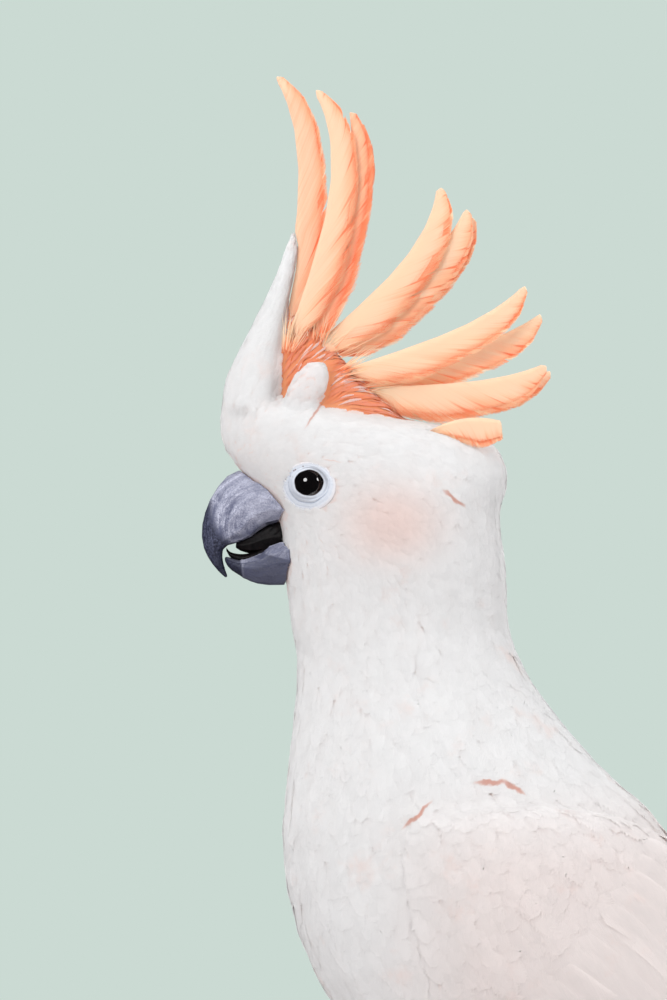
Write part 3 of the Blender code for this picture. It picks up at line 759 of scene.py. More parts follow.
def spread_roots(rng):
    corners = skin_points[TRIANGLES]
    rims = corners[:, 1:] - corners[:, :1]
    area = 0.5 * np.linalg.norm(np.cross(rims[:, 0], rims[:, 1]), axis=1)
    spacing = lie(corners.mean(1))[1][:, 2]
    weight = area / spacing**2
    picks = rng.choice(len(TRIANGLES), int(THROWN * weight.sum()), p=weight / weight.sum())
    share = rng.random((len(picks), 2))
    share = np.where(share.sum(1, keepdims=True) > 1, 1 - share, share)
    a, b, c = (corners[picks, i] for i in range(3))
    points = a + share[:, :1] * (b - a) + share[:, 1:] * (c - a)
    gap = lie(points)[1][:, 2]
    kept = []
    for low, high in GAPS:
        cells = {}
        for i in np.nonzero((gap >= low) & (gap < high))[0]:
            p = points[i]
            x, y, z = (int(v // high) for v in p)
            near = [q for dx, dy, dz in BESIDE for q in cells.get((x + dx, y + dy, z + dz), ())]
            away = ((q[0] - p[0]) ** 2 + (q[1] - p[1]) ** 2 + (q[2] - p[2]) ** 2 for q in near)
            if all(square > gap[i] * gap[i] for square in away):
                cells.setdefault((x, y, z), []).append(p)
                kept.append(i)
    kept = np.array(kept)
    return points[kept], QUAD_OF[picks[kept]]


def covered(node, points, normals):
    """Whether a node lies just outside the skin there."""
    cast = tree_at(node).ray_cast
    hits = [cast(Vector(p - n * 0.5), Vector(n), 5.0)[3] for p, n in zip(points, normals)]
    return np.array([h is not None for h in hits])


rng = np.random.default_rng(7)
roots, root_quads = spread_roots(rng)
print(len(roots), "roots thrown")
root_normals = smooth_normals(root_quads)
bald = (roots[:, 0] < EYE[0] + 2) & (np.abs(roots[:, 1]) < 14)
bald[bald] = np.any([covered(node, roots[bald], root_normals[bald]) for node in BILLS], 0)
bald |= ring_share(roots) <= 0.95
roots, root_quads, root_normals = roots[~bald], root_quads[~bald], root_normals[~bald]
print(len(roots), "roots kept")

# %% [markdown]
# ## Wings and tail: where the long feathers are
#
# A wing lies folded along the body. Its solid, seen from the side, has an upper and a
# lower edge between the shoulder and the tip. Slices across it give both edges, and any
# place on the wing is then a share along and a share across. The same slices find the
# front and rear edges of the crest feathers.

# %% Places on a thin node
def share_along(points, start, end):
    """How far along the line start-end points are."""
    way = end - start
    return (points - start) @ way / (way @ way)


def outline(node, start, end, shares, across):
    """The lowest and highest distance to the side of the line start-end, at shares along it."""
    points, faces = mesh_of(node)
    along = share_along(points, start, end)
    off = (points - start) @ across
    ends = edges_of(faces)
    a, b = along[ends].T
    low, high = np.zeros(len(shares)), np.zeros(len(shares))
    for k, share in enumerate(shares):
        crossing = (a - share) * (b - share) <= 0
        crossing &= np.abs(a - b) > 1e-9
        part = (share - a[crossing]) / (b - a)[crossing]
        hits = off[ends[crossing, 0]] * (1 - part) + off[ends[crossing, 1]] * part
        low[k], high[k] = hits.min(), hits.max()
    return low, high


def side_view(way):
    """The direction square to a way, in the side view: rear of an upright way."""
    return unit(np.array([way[2], 0.0, -way[0]]))


wing_points = mesh_of("wing_left")[0]
WING_TIP = wing_points[np.argmax(wing_points[:, 0] - wing_points[:, 2])] * (1, 0, 1)
tip_away = np.linalg.norm(wing_points * (1, 0, 1) - WING_TIP, axis=1)
SHOULDER = wing_points[np.argmax(tip_away)] * (1, 0, 1)
WING_SHARES = np.linspace(0.01, 0.99, 50)
WING_ACROSS = side_view(WING_TIP - SHOULDER)
WING_EDGES = outline("wing_left", SHOULDER, WING_TIP, WING_SHARES, WING_ACROSS)
print("wing:", round(float(np.linalg.norm(WING_TIP - SHOULDER))), "mm from shoulder to tip")


def wing_place(along, across, side):
    """A point on a wing's outer face and its normal. Across is 0 at the upper edge."""
    upper, lower = (np.interp(along, WING_SHARES, edge) for edge in WING_EDGES)
    spot = SHOULDER + (WING_TIP - SHOULDER) * along + WING_ACROSS * (upper + (lower - upper) * across)
    tree = tree_at("wing_" + side)
    hit = from_side(tree, spot[0], spot[2], SIGN[side], 100.0)
    if hit[0] is None:
        hit = tree.find_nearest(Vector((spot[0], SIGN[side] * 14, spot[2])))
    return np.array(hit[0]), np.array(hit[1])


# %% [markdown]
# ## Which roots stay
#
# Quills cover the rear of the wings and the tail, so small feathers are left out there.
# What is nearest to the bed of the crest is deep orange down.

# %% Sorting the roots
TAIL_LOW, TAIL_HIGH = box_of("tail")
outside = roots + root_normals * lie(roots)[1][:, 3:4]
wing_away, trunk_away, tail_away = (distance_to(nodes, outside) for nodes in (WINGS, ["trunk"], ["tail"]))
on_wing = wing_away < np.minimum(trunk_away, tail_away) - 0.2
on_wing &= roots[:, 0] > box_of("neck")[0][0]
on_tail = tail_away < np.minimum(trunk_away, wing_away)
bare = on_wing & (share_along(roots, SHOULDER, WING_TIP) > 0.36)
bare |= on_tail & (roots[:, 0] > TAIL_LOW[0] + 24)
in_bed = distance_to(BED, outside) < 0.9
roots, root_quads, root_normals = roots[~bare], root_quads[~bare], root_normals[~bare]
in_bed, on_wing = in_bed[~bare], on_wing[~bare]
print(len(roots), "small feathers,", int(in_bed.sum()), "of them orange down")

# %% [markdown]
# ## From root to tip
#
# A feather follows the body that it lies on, so its shaft is a walk over the skin. Those
# on the lobes of the crown are small and flat, and the orange ones are narrow wisps.

# %% Walking along the skin
STATIONS = 6


def walked(roots, normals, lengths, turns):
    """Each feather's line along the skin, with the skin's normals, from root to tip."""
    line, up = [roots], [normals]
    here, normal = roots, normals
    for _ in range(STATIONS - 1):
        heading = lie(here)[0]
        heading = unit(heading - normal * (heading * normal).sum(1, keepdims=True))
        sideways = np.cross(normal, heading)
        heading = heading * np.cos(turns)[:, None] + sideways * np.sin(turns)[:, None]
        ahead = here + heading * (lengths / (STATIONS - 1))[:, None]
        found = [skin_tree.find_nearest(Vector(p)) for p in ahead]
        here, normal = np.array([f[0] for f in found]), smooth_normals([f[2] for f in found])
        line.append(here)
        up.append(normal)
    return np.stack(line, 1), np.stack(up, 1)


sizes = lie(roots)[1]
count = len(roots)
length = sizes[:, 0] * rng.uniform(0.78, 1.12, count)
half = sizes[:, 1] * rng.uniform(0.8, 1.1, count)
on_lobe = (distance_to(LOBES, roots) < 1.0) & ~in_bed
length[on_lobe] *= 0.55
half[on_lobe] *= 0.75
sizes[on_lobe, 3] *= 0.4
length[in_bed] = rng.uniform(5.0, 9.0, int(in_bed.sum()))
half[in_bed] = rng.uniform(0.25, 0.6, int(in_bed.sum()))
lines, ups = walked(roots, root_normals, length, rng.normal(0, 0.10, count))
print("half widths", np.percentile(half, [5, 50, 95]).round(2), "mm")

# %% [markdown]
# ## Feathers that stop short
#
# A feather is made shorter where it would reach onto the ring of an eye, over a fold of
# the body, from white parts onto the orange bed, or from the breast onto a wing. Round the
# ring the place is looked for between two steps of the walk, because every tip shows there.

# %% Where each feather ends
FOLD = 0.55  # cosine of the angle between two neighbouring places' normals
TRIMMED = 0.12  # how much sooner a feather ends, as a share of its length

flat_lines = lines.reshape(-1, 3)
shape = lines.shape[:2]
near_bed = (distance_to(BED, flat_lines) < 1.3).reshape(shape) & ~in_bed[:, None]
over_wing = (distance_to(WINGS, flat_lines) < distance_to(["trunk"], flat_lines)).reshape(shape)
bend_of_wing = (lines[..., 2] < EYE[2] - 116) & (lines[..., 0] < EYE[0] + 42)
ring_at = ring_share(lines)
stop = (ring_at < 1.0) | near_bed | (over_wing & bend_of_wing & ~on_wing[:, None])
stop[:, 1:] |= (ups[:, 1:] * ups[:, :-1]).sum(2) < FOLD
stop[:, 0] = False
first_in = np.where(stop.any(1), stop.argmax(1), STATIONS) / (STATIONS - 1)
inside = (ring_at < 1.0).argmax(1)
every = np.arange(count)
before, after = ring_at[every, inside - 1], ring_at[every, inside]
crossing = (inside - 1 + (before - 1) / np.maximum(before - after, 1e-6)) / (STATIONS - 1)
first_in = np.minimum(first_in, np.where(inside > 0, crossing + rng.uniform(0.1, 0.26, count), 9.0))
dropped = near_bed.any(1) & (first_in < 0.45)
reach = np.clip(first_in - TRIMMED, 0.25, 1.0)
print(int((reach < 1).sum()), "feathers made shorter")

# %% [markdown]
# ## The coat
#
# The pattern is bent over every line. It rises from the skin on its way, curves over the
# body and sags a little at its sides, and its free barb ends are uneven. Small feathers
# need fewer barbs than large ones. Their shading mostly follows the body, which lets
# them close into one soft coat, and a little of each one's own relief is kept.

# %% Bending the pattern to every feather
def coat_points(pick, pattern, lift_by):
    """Points and soft normals of the picked feathers."""
    along, across, _, _ = pattern
    n = len(pick)
    rise = np.linspace(0, 1, STATIONS)
    stations, normals = (
        np.stack([read(table[k : k + 1], rise * reach[k])[0] for k in pick]) for table in (lines, ups)
    )
    risen = 1 - (1 - rise[None] * reach[pick][:, None]) ** 2.0
    lift = sizes[pick, 3][:, None] * (0.04 + lift_by[:, None] * risen)
    spine = stations + normals * lift[..., None]
    ahead = np.gradient(spine, axis=1)
    sideways = unit(np.cross(normals, ahead))
    t = along[None] + rng.normal(0, 0.018, (n, len(along))) * (np.abs(across) > 0.5)
    centre = read(spine, along)
    out = read(sideways, np.minimum(along, 1.0))
    up = read(normals, np.minimum(along, 1.0))
    slide = (t - along)[..., None] * (spine[:, -1:] - spine[:, :1])
    wide = half[pick][:, None] * across[None] * (0.6 + 0.4 * reach[pick])[:, None]
    wide = wide * (1 + rng.normal(0, 0.07, wide.shape) * (np.abs(across) > 0.9))
    sag = 0.12 * lift.max(1)[:, None] * across[None] ** 2 * along[None]
    droop = wide**2 / (2 * round_of[pick][:, None]) + sag
    points = centre + slide + out * wide[..., None] - up * droop[..., None]
    bulge = (wide / round_of[pick][:, None])[..., None]
    return points, unit(up + out * bulge)


print("each feather is bent at", STATIONS, "stations")

# %% Coat pieces
SIZES = ((0.0, 1.5, 6), (1.5, 2.6, 9), (2.6, 9.0, 13))  # half width from, to, barbs a side
OWN_SHAPE = 0.14  # how much of a feather's own relief shows in its shading
MOST_TRIANGLES = 180000  # in one piece
PATCH = 0.003  # size of a feather's place on the skin's map
PALE_WISPS = 0.15  # the share of pale ones among the orange

round_of = np.clip(thickness[skin_faces[root_quads][:, 0]] / 2, 3.0, 40.0)
down_tint = np.where(rng.random(count) < PALE_WISPS, 0.3, rng.uniform(1.0, 2.0, count)) * in_bed
seeds = rng.random(count)
order = np.argsort(-(roots[:, 2] - 0.6 * roots[:, 0]))
coat_total = 0
coat_number = 0
for low, high, barbs in SIZES:
    pattern = vane_pattern(barbs)
    group = order[(half[order] >= low) & (half[order] < high) & ~dropped[order]]
    per_piece = MOST_TRIANGLES // len(pattern[3])
    parts = max(1, math.ceil(len(group) / per_piece))
    for pick in np.array_split(group, parts):
        coat_number += 1
        made, soft = coat_points(pick, pattern, rng.uniform(0.80, 0.90, len(pick)))
        n, per = made.shape[:2]
        faces = (pattern[3][None] + (np.arange(n) * per)[:, None, None]).reshape(-1, 3)
        own = normals_of(made.reshape(-1, 3), faces)
        soft = unit(soft.reshape(-1, 3) * (1 - OWN_SHAPE) + own * OWN_SHAPE)
        patch = np.stack([pattern[0] - 0.5, pattern[1] * 0.5], 1) * PATCH
        places = (skin_places[root_quads[pick]][:, None] + patch[None]).reshape(-1, 2)
        marks = {
            "along": np.tile(pattern[0], n),
            "barb": np.tile(pattern[2] + 0.31 * np.sign(pattern[1]), n),
            "seed": np.repeat(seeds[pick], per),
            "tint": np.maximum(np.repeat(down_tint[pick], per), markings(made.reshape(-1, 3))),
        }
        name = f"coat_{coat_number:02d}"
        coat = piece(name, made.reshape(-1, 3), faces, FEATHER, marks, places, soft)
        coat_total += len(faces)
        print(coat.name, n, "feathers", len(faces), "triangles")
print("coat:", coat_total, "triangles")

# %% [markdown]
# ## Long feathers of wing and tail
#
# On a folded wing the long feathers lie like a closed fan: the outermost primary at the
# lower edge, each next one above and over it, and the tertials on top next to the back.
# Each is one vane with many fine barbs, closed nearly to its edge, laid over the solid's
# surface.

# %% Quills
def quill_shape(place):
    """The width of a flight feather along its shaft."""
    narrowed = 0.72 * np.clip((place - 0.55) / 0.45, 0, 1) ** 3.0
    return np.minimum(1.0, (place / 0.10) ** 0.5) * (1.0 - narrowed)


QUILL_STATIONS = 12
LOWEST = 0.3  # no tip dips under the floor
QUILL = vane_pattern(34, sweep=0.09, joined=0.94, shape=quill_shape, crowd=0.85)


def quill(line, normals, half_width, outer_share=0.8):
    """The pattern bent over a line of places. The outer web is the narrower one."""
    along, across, _, _ = QUILL
    line, normals = np.array(line), unit(np.array(normals))
    centre = read(line[None], along)[0]
    normal = unit(read(normals[None], np.minimum(along, 1.0))[0])
    ahead = read(np.gradient(line, axis=0)[None], np.minimum(along, 1.0))[0]
    sideways = unit(np.cross(normal, ahead))
    wide = half_width * across * np.where(across > 0, 1.0, outer_share)
    wide = wide * (1 + rng.normal(0, 0.015, len(wide)) * (np.abs(across) > 0.9))
    camber = 0.35 * bell(across, 0.0, 0.12) - 0.25 * across**2
    points = centre + sideways * wide[:, None] + normal * camber[:, None]
    return points, normal, rng.random()


def quill_piece(name, quills):
    """These quills as one piece."""
    along, across, barb, pattern = QUILL
    count, per = len(quills), len(along)
    points = np.concatenate([q[0] for q in quills])
    points[:, 2] = np.maximum(points[:, 2], LOWEST)
    faces = np.concatenate([pattern + k * per for k in range(count)])
    soft = unit(np.concatenate([q[1] for q in quills]) * 0.6 + normals_of(points, faces) * 0.4)
    wide = math.ceil(math.sqrt(count))
    places = np.concatenate([
        np.stack([(k % wide + 0.1 + 0.75 * along) / wide, (k // wide + 0.5 + 0.4 * across) / wide], 1)
        for k in range(count)
    ])
    marks = {
        "along": np.tile(0.4 + 0.6 * along, count),
        "barb": np.tile((barb + 0.31 * np.sign(across)) * 2.5, count),
        "seed": np.repeat([q[2] for q in quills], per),
        "tint": markings(points),
    }
    piece(name, points, faces, FEATHER, marks, places, soft)
    print(name, count, "feathers", len(faces), "triangles")


print("a quill:", len(QUILL[3]), "triangles")

# %% [markdown]
# ## The rows of a folded wing
#
# Each row is a fan: every feather starts and ends nearer to the wing's upper edge than the
# one before, and lies a little higher. Roots are sunk, so that the row above and the small
# feathers close over them.

# %% Wings
# How many; where the first starts and ends, as shares along and across; how far each next
# one moves at both ends; the first one's height and the step up; half width.
WING_ROWS = (
    (9, (0.36, 0.86), (0.985, 0.80), (0.01, -0.05), (-0.026, -0.045), (0.05, 0.05), 5.6),  # primaries
    (11, (0.34, 0.84), (0.70, 0.90), (0.0, -0.07), (-0.002, -0.078), (0.45, 0.05), 6.4),  # secondaries
    (4, (0.34, 0.34), (0.76, 0.30), (0.0, -0.07), (0.015, -0.07), (1.0, 0.08), 6.2),  # tertials
    (13, (0.27, 0.93), (0.52, 0.93), (0.0, -0.072), (0.0, -0.072), (0.9, 0.03), 5.0),  # greater coverts
    (14, (0.25, 0.95), (0.43, 0.95), (0.0, -0.068), (0.0, -0.068), (0.8, 0.02), 4.4),  # median coverts
)
ROOT_DEPTH = 1.4


def wing_line(start, end, side, height):
    """Places from start to end on a wing, each a share along and a share across."""
    line, normals = [], []
    for k in np.linspace(0, 1, QUILL_STATIONS):
        a, b = start + (end - start) * k
        point, normal = wing_place(min(a, 0.985), min(max(b, 0.04), 0.96), side)
        rise = (height + ROOT_DEPTH) * min(k / 0.3, 1.0) ** 0.8 - ROOT_DEPTH
        line.append(point + normal * rise)
        normals.append(normal)
    return line, normals


rng = np.random.default_rng(21)
for side in SIGN:
    quills = []
    for many, start, end, start_step, end_step, height, half_width in WING_ROWS:
        for k in range(many):
            ends = np.array((start, end)) + np.array((start_step, end_step)) * k
            quills.append(quill(*wing_line(*ends, side, height[0] + height[1] * k), half_width))
    quill_piece("quills_" + side, quills)

# %% [markdown]
# ## The tail
#
# The middle pair lies on top and each next pair under it, a little to the side and a
# little shorter. The same twelve are laid over the underside, which can be seen from
# below.

# %% Tail
tail_points = mesh_of("tail")[0]
TAIL_WAY = unit(np.array([TAIL_HIGH[0] - TAIL_LOW[0], 0.0, TAIL_LOW[2] - TAIL_HIGH[2]]))
TAIL_TOP = np.cross(TAIL_WAY, (0, 1, 0)) * -1
TAIL_TOP = TAIL_TOP * np.sign(TAIL_TOP[2])
TAIL_HALF = np.abs(tail_points[:, 1]).max()
tail_along = (tail_points - tail_points.mean(0)) @ TAIL_WAY
tail_tip = tail_points[tail_along > tail_along.max() - 2].mean(0)
tail_root = tail_points[tail_along < tail_along.min() + 6].mean(0)
TAIL_FEATHERS = 12
BETWEEN_PAIRS = (TAIL_FEATHERS - 1) / 2
quills = []
for face in (1, -1):
    for k in sorted(range(TAIL_FEATHERS), key=lambda k: -abs(k - BETWEEN_PAIRS)):
        lean = (k - BETWEEN_PAIRS) / BETWEEN_PAIRS
        end = tail_tip + TAIL_WAY * (-1.0 - 5.0 * lean**2)
        height = 0.25 + 0.14 * (6 - abs(k - BETWEEN_PAIRS))
        line = []
        for share in np.linspace(0.0, 1.0, QUILL_STATIONS):
            spot = tail_root + (end - tail_root) * share
            spot = spot + np.array([0.0, lean * (TAIL_HALF - 5.5) * (0.25 + 0.75 * share), 0.0])
            hit = tree_at("tail").ray_cast(Vector(spot + face * TAIL_TOP * 30), Vector(-face * TAIL_TOP))
            base = np.array(hit[0]) if hit[0] is not None else spot
            line.append(base + face * TAIL_TOP * height * (0.4 + 0.6 * share))
        quills.append(quill(line, [face * TAIL_TOP] * QUILL_STATIONS, 5.8, 0.95))
quill_piece("tail_quills", quills)

# %% [markdown]
# ## The feathers of the crest
#
# A crest feather is a shaft at the front edge with two webs folded back along it, like a
# ridge tent. The near web is pale outside; where it ends, the deeper inner face of the
# far web shows behind it, deeper partly in its own colour and partly as painted shade. The
# barbs sweep up and back, stick together in locks, part in thin curved splits and end in a
# fringe. Each barb is made as its own narrow strip, bent over the web. One sheet with a
# drawn edge would be lighter, but the splits and the fringe are what make the crest look
# like feather.

# %% Edges of a crest feather
CREST_SHARES = np.linspace(0.01, 0.99, 40)
BED_MIDDLE = middle_of("crest_bed")
OVER_SKIN = 0.9  # how far over the skin a foot runs
FOOT_SUNK = 2.4  # and how deep its end is sunk


def blade(node):
    """Front edge, rear edge and middle depth of a flat node, from its root to its tip."""
    points, _ = mesh_of(node)
    away = np.linalg.norm((points - BED_MIDDLE)[:, [0, 2]], axis=1)
    tip = points[np.argmax(away)] * (1, 0, 1)
    far = np.linalg.norm((points - tip)[:, [0, 2]], axis=1)
    root = points[far > far.max() - 1.5].mean(0) * (1, 0, 1)
    rear_way = side_view(tip - root)
    low, high = outline(node, root, tip, CREST_SHARES, rear_way)
    spine = root + (tip - root) * CREST_SHARES[:, None]
    depth = (points[:, 1].min() + points[:, 1].max()) / 2
    middle = np.array([0.0, depth, 0.0])
    return spine + rear_way * low[:, None] + middle, spine + rear_way * high[:, None] + middle


def footed(front, rear, foot):
    """Both edges lengthened to a point on the crest's bed, kept over its surface, and spaced evenly."""
    spot = EYE[[0, 2]] + np.array(foot)
    tip = np.array([spot[0], front[0, 1], spot[1]])
    made = []
    for edge in (front, rear):
        k = np.linspace(0, 1, 12)[:-1, None]
        edge = np.concatenate([tip + (edge[0] - tip) * k, edge])
        gone = np.append(0, np.cumsum(np.linalg.norm(np.diff(edge, axis=0), axis=1)))
        even = np.linspace(0, gone[-1], len(CREST_SHARES))
        edge = np.stack([np.interp(even, gone, edge[:, i]) for i in range(3)], 1)
        depth = edge[:, 1].copy()
        for i, p in enumerate(edge):
            hit = from_side(whole_skin, p[0], p[2], SIGN["left"])[0]
            if hit is not None:
                depth[i] = min(depth[i], hit[1] - OVER_SKIN)
        for _ in range(4):
            depth[1:-1] = (depth[:-2] + 2 * depth[1:-1] + depth[2:]) / 4
        edge[:, 1] = depth + FOOT_SUNK * (1 - smooth_step(np.arange(len(edge)), 0.0, 2.5))
        made.append(edge)
    return made


def along_edge(edge, t):
    return np.stack([np.interp(t, CREST_SHARES, edge[:, i]) for i in range(3)], -1)


print("a crest feather's edges are read at", len(CREST_SHARES), "places")

# %% [markdown]
# ## The webs of the crest
#
# Barbs leave the shaft together in locks, with a thin split between one lock and the next.
# Each barb is a strip that starts at the shaft, sweeps up, closes in on its lock's middle
# and narrows to its end. A second, deeper coloured sheet behind each outer one shows
# through the splits; its deeper colour is partly painted shade.

# %% Barbs that stick together
CREST_STEPS = 10
LOCK_BARBS = (9, 34)  # how many barbs stick together


def strip_quads(strips, steps):
    """Quads of narrow strips whose points lie in pairs, one on each side."""
    i = (np.arange(strips)[:, None] * steps + np.arange(steps - 1)[None]) * 2
    return np.stack([i, i + 1, i + 3, i + 2], -1).reshape(-1, 4)


def drawn_locks(t0, to_tip, rng):
    """For each barb its lock's middle, how strongly the lock closes and from where, its swing,
    how much longer it is, its rise, and how near the barb is to a split."""
    cuts = np.cumsum(rng.integers(*LOCK_BARBS, len(t0)))
    locks = np.searchsorted(cuts, np.arange(len(t0)), side="right")
    number = locks.max() + 1
    means = np.array([t0[locks == k].mean() if (locks == k).any() else 0 for k in range(number)])
    strong = rng.uniform(0.25, 1.0, number)[locks]
    opens = rng.uniform(0.25, 0.8, number)[locks]
    swing = rng.normal(0, 0.010, number)[locks] * to_tip
    longer = rng.uniform(-0.06, 0.04, number)[locks] * to_tip
    longer = longer + rng.normal(0, 0.022, len(t0)) * to_tip
    rise = rng.uniform(-0.22, 0.22, number)[locks]
    last = np.append(locks[1:] != locks[:-1], False)
    split = np.maximum(last, 0.5 * np.append(False, last[:-1]))
    return means[locks], strong, opens, swing, longer, rise, split


print("from", LOCK_BARBS[0], "to", LOCK_BARBS[1] - 1, "barbs stick together")

# %% One web of a feather
def on_web(front, rear, side, inset, t, s):
    """The place at a share along the feather and a share across, on a web folded at the shaft."""
    t = np.clip(t, -0.02, 1.0)
    base, edge = along_edge(front, t), along_edge(rear, t)
    point = base + (edge - base) * s[..., None]
    thick = np.minimum(1.0, np.linalg.norm(edge - base, axis=-1) / 5.0)
    fold = np.sin(np.minimum(s / 0.16, 1.0) * np.pi / 2) * (1.0 - 0.55 * s) * thick
    point[..., 1] += side * (0.55 * fold - inset * np.minimum(s / 0.1, 1))
    return point


def web(front, rear, side, reach, inset, barbs, parting, rng):
    """Strips for the barbs of one web: points, quads, marks, soft normals and places on the map."""
    steps = CREST_STEPS
    t0 = np.linspace(-0.30, 0.985, barbs)  # where each barb leaves the shaft
    advance = 0.30 * (1 - np.clip(t0, 0, 1) ** 2) + 0.015
    to_tip = np.clip(1 - t0, 0.0, 1.0) ** 0.6
    draws = drawn_locks(t0, to_tip, rng)
    t0, advance, to_tip, middle, strong, opens, swing, longer, rise, split = (
        values[:, None] for values in (t0, advance, to_tip, *draws)
    )
    start = np.clip(-t0 / advance, 0, 0.97)
    end = np.clip(reach + longer, 0.3, 1.03)
    k = np.linspace(0, 1, steps)
    s = start + np.maximum(end - start, 0.02) * k[None]
    loose = np.clip((s - opens) / (1 - opens + 1e-6), 0, 1) ** 1.5
    pull = parting * strong * loose * to_tip
    t = t0 + advance * s**0.86
    t = t + (middle - t0) * pull + swing * s**2

    centre = on_web(front, rear, side, inset, t, s)
    ahead, across = (
        on_web(front, rear, side, inset, t + dt, s + ds) - on_web(front, rear, side, inset, t - dt, s - ds)
        for dt, ds in ((0.004, 0), (0, 0.004))
    )
    outwards = np.array([0.0, side, 0.0])
    soft = unit(np.cross(ahead, across) * side + outwards * 1e-4)
    soft = np.where((soft[..., 1:2] * side) < 0, -soft, soft)
    narrowing = np.clip((1.04 - k[None]) / 0.35, 0.12, 1.0) ** 0.6
    wide = 0.62 * 1.285 / barbs * (1 - pull * 0.9) * narrowing
    broad = np.linalg.norm(along_edge(rear, t) - along_edge(front, t), axis=-1)
    wide = wide * np.where(t < 0.3, np.clip(broad / 5.0, 0.25, 1.0), 1.0)
    half = unit(ahead) * (wide * np.linalg.norm(front[-1] - front[0]))[..., None]
    lift = (rise * s**2)[..., None] * outwards
    tilt = soft * 0.035
    points = np.stack([centre + half + lift + tilt, centre - half + lift - tilt], 2).reshape(-1, 3)
    quads = strip_quads(barbs, steps)[:, ::-side]
    own = normals_of(points, quads)
    soft = np.repeat(soft.reshape(-1, 3), 2, axis=0)
    own = np.where((own * soft).sum(1, keepdims=True) < 0, -own, own)
    split = split * smooth_step(s, 0.30, 0.75) * strong
    marks = {"across": s, "along": t, "barb": t0, "lock": strong, "split": split}
    marks = {name: np.repeat(np.broadcast_to(v, s.shape).ravel(), 2) for name, v in marks.items()}
    column = (np.repeat(np.arange(barbs), steps * 2) + np.tile([0.15, 0.85], barbs * steps)) / barbs
    places = np.stack([column, np.repeat(np.tile(k, barbs), 2)], 1)
    return points, quads, marks, unit(soft * 0.75 + own * 0.25), places


def joined_up(parts):
    """Several (points, faces, marks and more arrays) as one."""
    points, faces, marks, *more = zip(*parts)
    first = np.cumsum([0] + [len(p) for p in points[:-1]])
    faces = np.concatenate([f + k for f, k in zip(faces, first)])
    marks = {name: np.concatenate([m[name] for m in marks]) for name in marks[0]}
    return np.concatenate(points), faces, marks, *(np.concatenate(rows) for rows in more)


print("a web has", CREST_STEPS, "points along each barb")

# %% [markdown]
# ## Four sheets to a feather
#
# The near web is pale outside and deeper coloured in its splits, where the sheet behind it
# shows. The far web is as wide as the solid, so that its inner face shows behind the near
# one's fringe. The inner faces are deeper partly in their own colour and partly as painted
# shade. Two small leaves at the nape are made the same way.

# %% Crest feathers
CREST_BARBS = 190
LEAF_BARBS = 90
# Side of the bird, share of the width (None: the near web's own), how far in, how much
# it parts, and how deep the colour is at the shaft and at the edge.
# the second and fourth sheets are inner faces, deeper partly in their own colour and partly as painted shade
SHEETS = (
    (-1, None, 0.0, 0.26, 0.0, 0.62),
    (-1, None, 0.16, 0.05, 0.55, 0.95),
    (1, 1.0, 0.0, 0.26, 0.0, 0.62),
    (-1, 1.0, 0.7, 0.3, 0.6, 1.0),
)
# Where the near feathers' quills meet, back from the eye and up from it.
QUILL_FEET = {
    "crest_feather_02": (-6.2, 42.6),
    "crest_feather_05": (3.1, 38.6),
    "crest_feather_08": (13.0, 31.2),
    "crest_feather_10": (16.4, 27.6),
}
DEEPER = {"crest_feather_01": 0.14, "crest_feather_03": 0.3, "crest_feather_04": 0.3}  # more colour
crest_nodes = sorted(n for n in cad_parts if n.startswith(("crest_feather", "nape_leaf")))
crest_total = 0
for number, node in enumerate(crest_nodes):
    rng = np.random.default_rng(100 + number)
    front, rear = blade(node)
    if node in QUILL_FEET:
        front, rear = footed(front, rear, QUILL_FEET[node])
    barbs = LEAF_BARBS if node.startswith("nape_leaf") else CREST_BARBS
    near_reach = rng.uniform(0.78, 0.90)
    sheets = []
    for side, reach, inset, parting, pale, full in SHEETS:
        made = web(front, rear, side, reach or near_reach, inset, barbs, parting, rng)
        points, quads, marks, normals, places = made
        across, lock, split = (marks.pop(mark) for mark in ("across", "lock", "split"))
        rearwards = smooth_step(across + 0.35 * (lock - 0.6), 0.25, 1.1)
        marks["deep"] = pale + (full - pale) * rearwards + DEEPER.get(node, 0.0) + 0.6 * split
        places = places * (1, 0.94 / len(SHEETS)) + (0, (len(sheets) + 0.03) / len(SHEETS))
        sheets.append((points, quads, marks, normals, places))
    points, quads, marks, normals, places = joined_up(sheets)
    marks["seed"] = np.full(len(points), rng.random())
    made = piece("vane_" + node, points, quads, CREST, marks, places, normals)
    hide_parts(node)
    crest_total += 2 * len(quads)
print(len(crest_nodes), "crest feathers,", crest_total, "triangles")

# %% [markdown]
# ## Loose barbs at the roots of the crest
#
# The lowest barbs of a crest feather are loose and hair-fine. They stand in a tuft round
# its root, orange below and pale at their ends, and hide where it leaves the down.

# %% Tufts
HAIRS_EACH = 60
HAIR_STEPS = 6


def hairs(starts, ways, lengths, widths, bends):
    """Thin tapering strips: points, quads and the share along for each point."""
    k = np.linspace(0, 1, HAIR_STEPS)
    line = starts[:, None] + ways[:, None] * (lengths[:, None] * k)[..., None]
    line = line + bends[:, None] * (k**2)[None, :, None]
    ahead = unit(np.gradient(line, axis=1))
    sideways = unit(np.cross(ahead, (0.0, 1.0, 0.0)))
    half = (widths[:, None] * (1 - 0.85 * k[None] ** 2) / 2)[..., None]
    points = np.stack([line + sideways * half, line - sideways * half], 2).reshape(-1, 3)
    return points, strip_quads(len(starts), HAIR_STEPS), np.repeat(np.tile(k, len(starts)), 2)


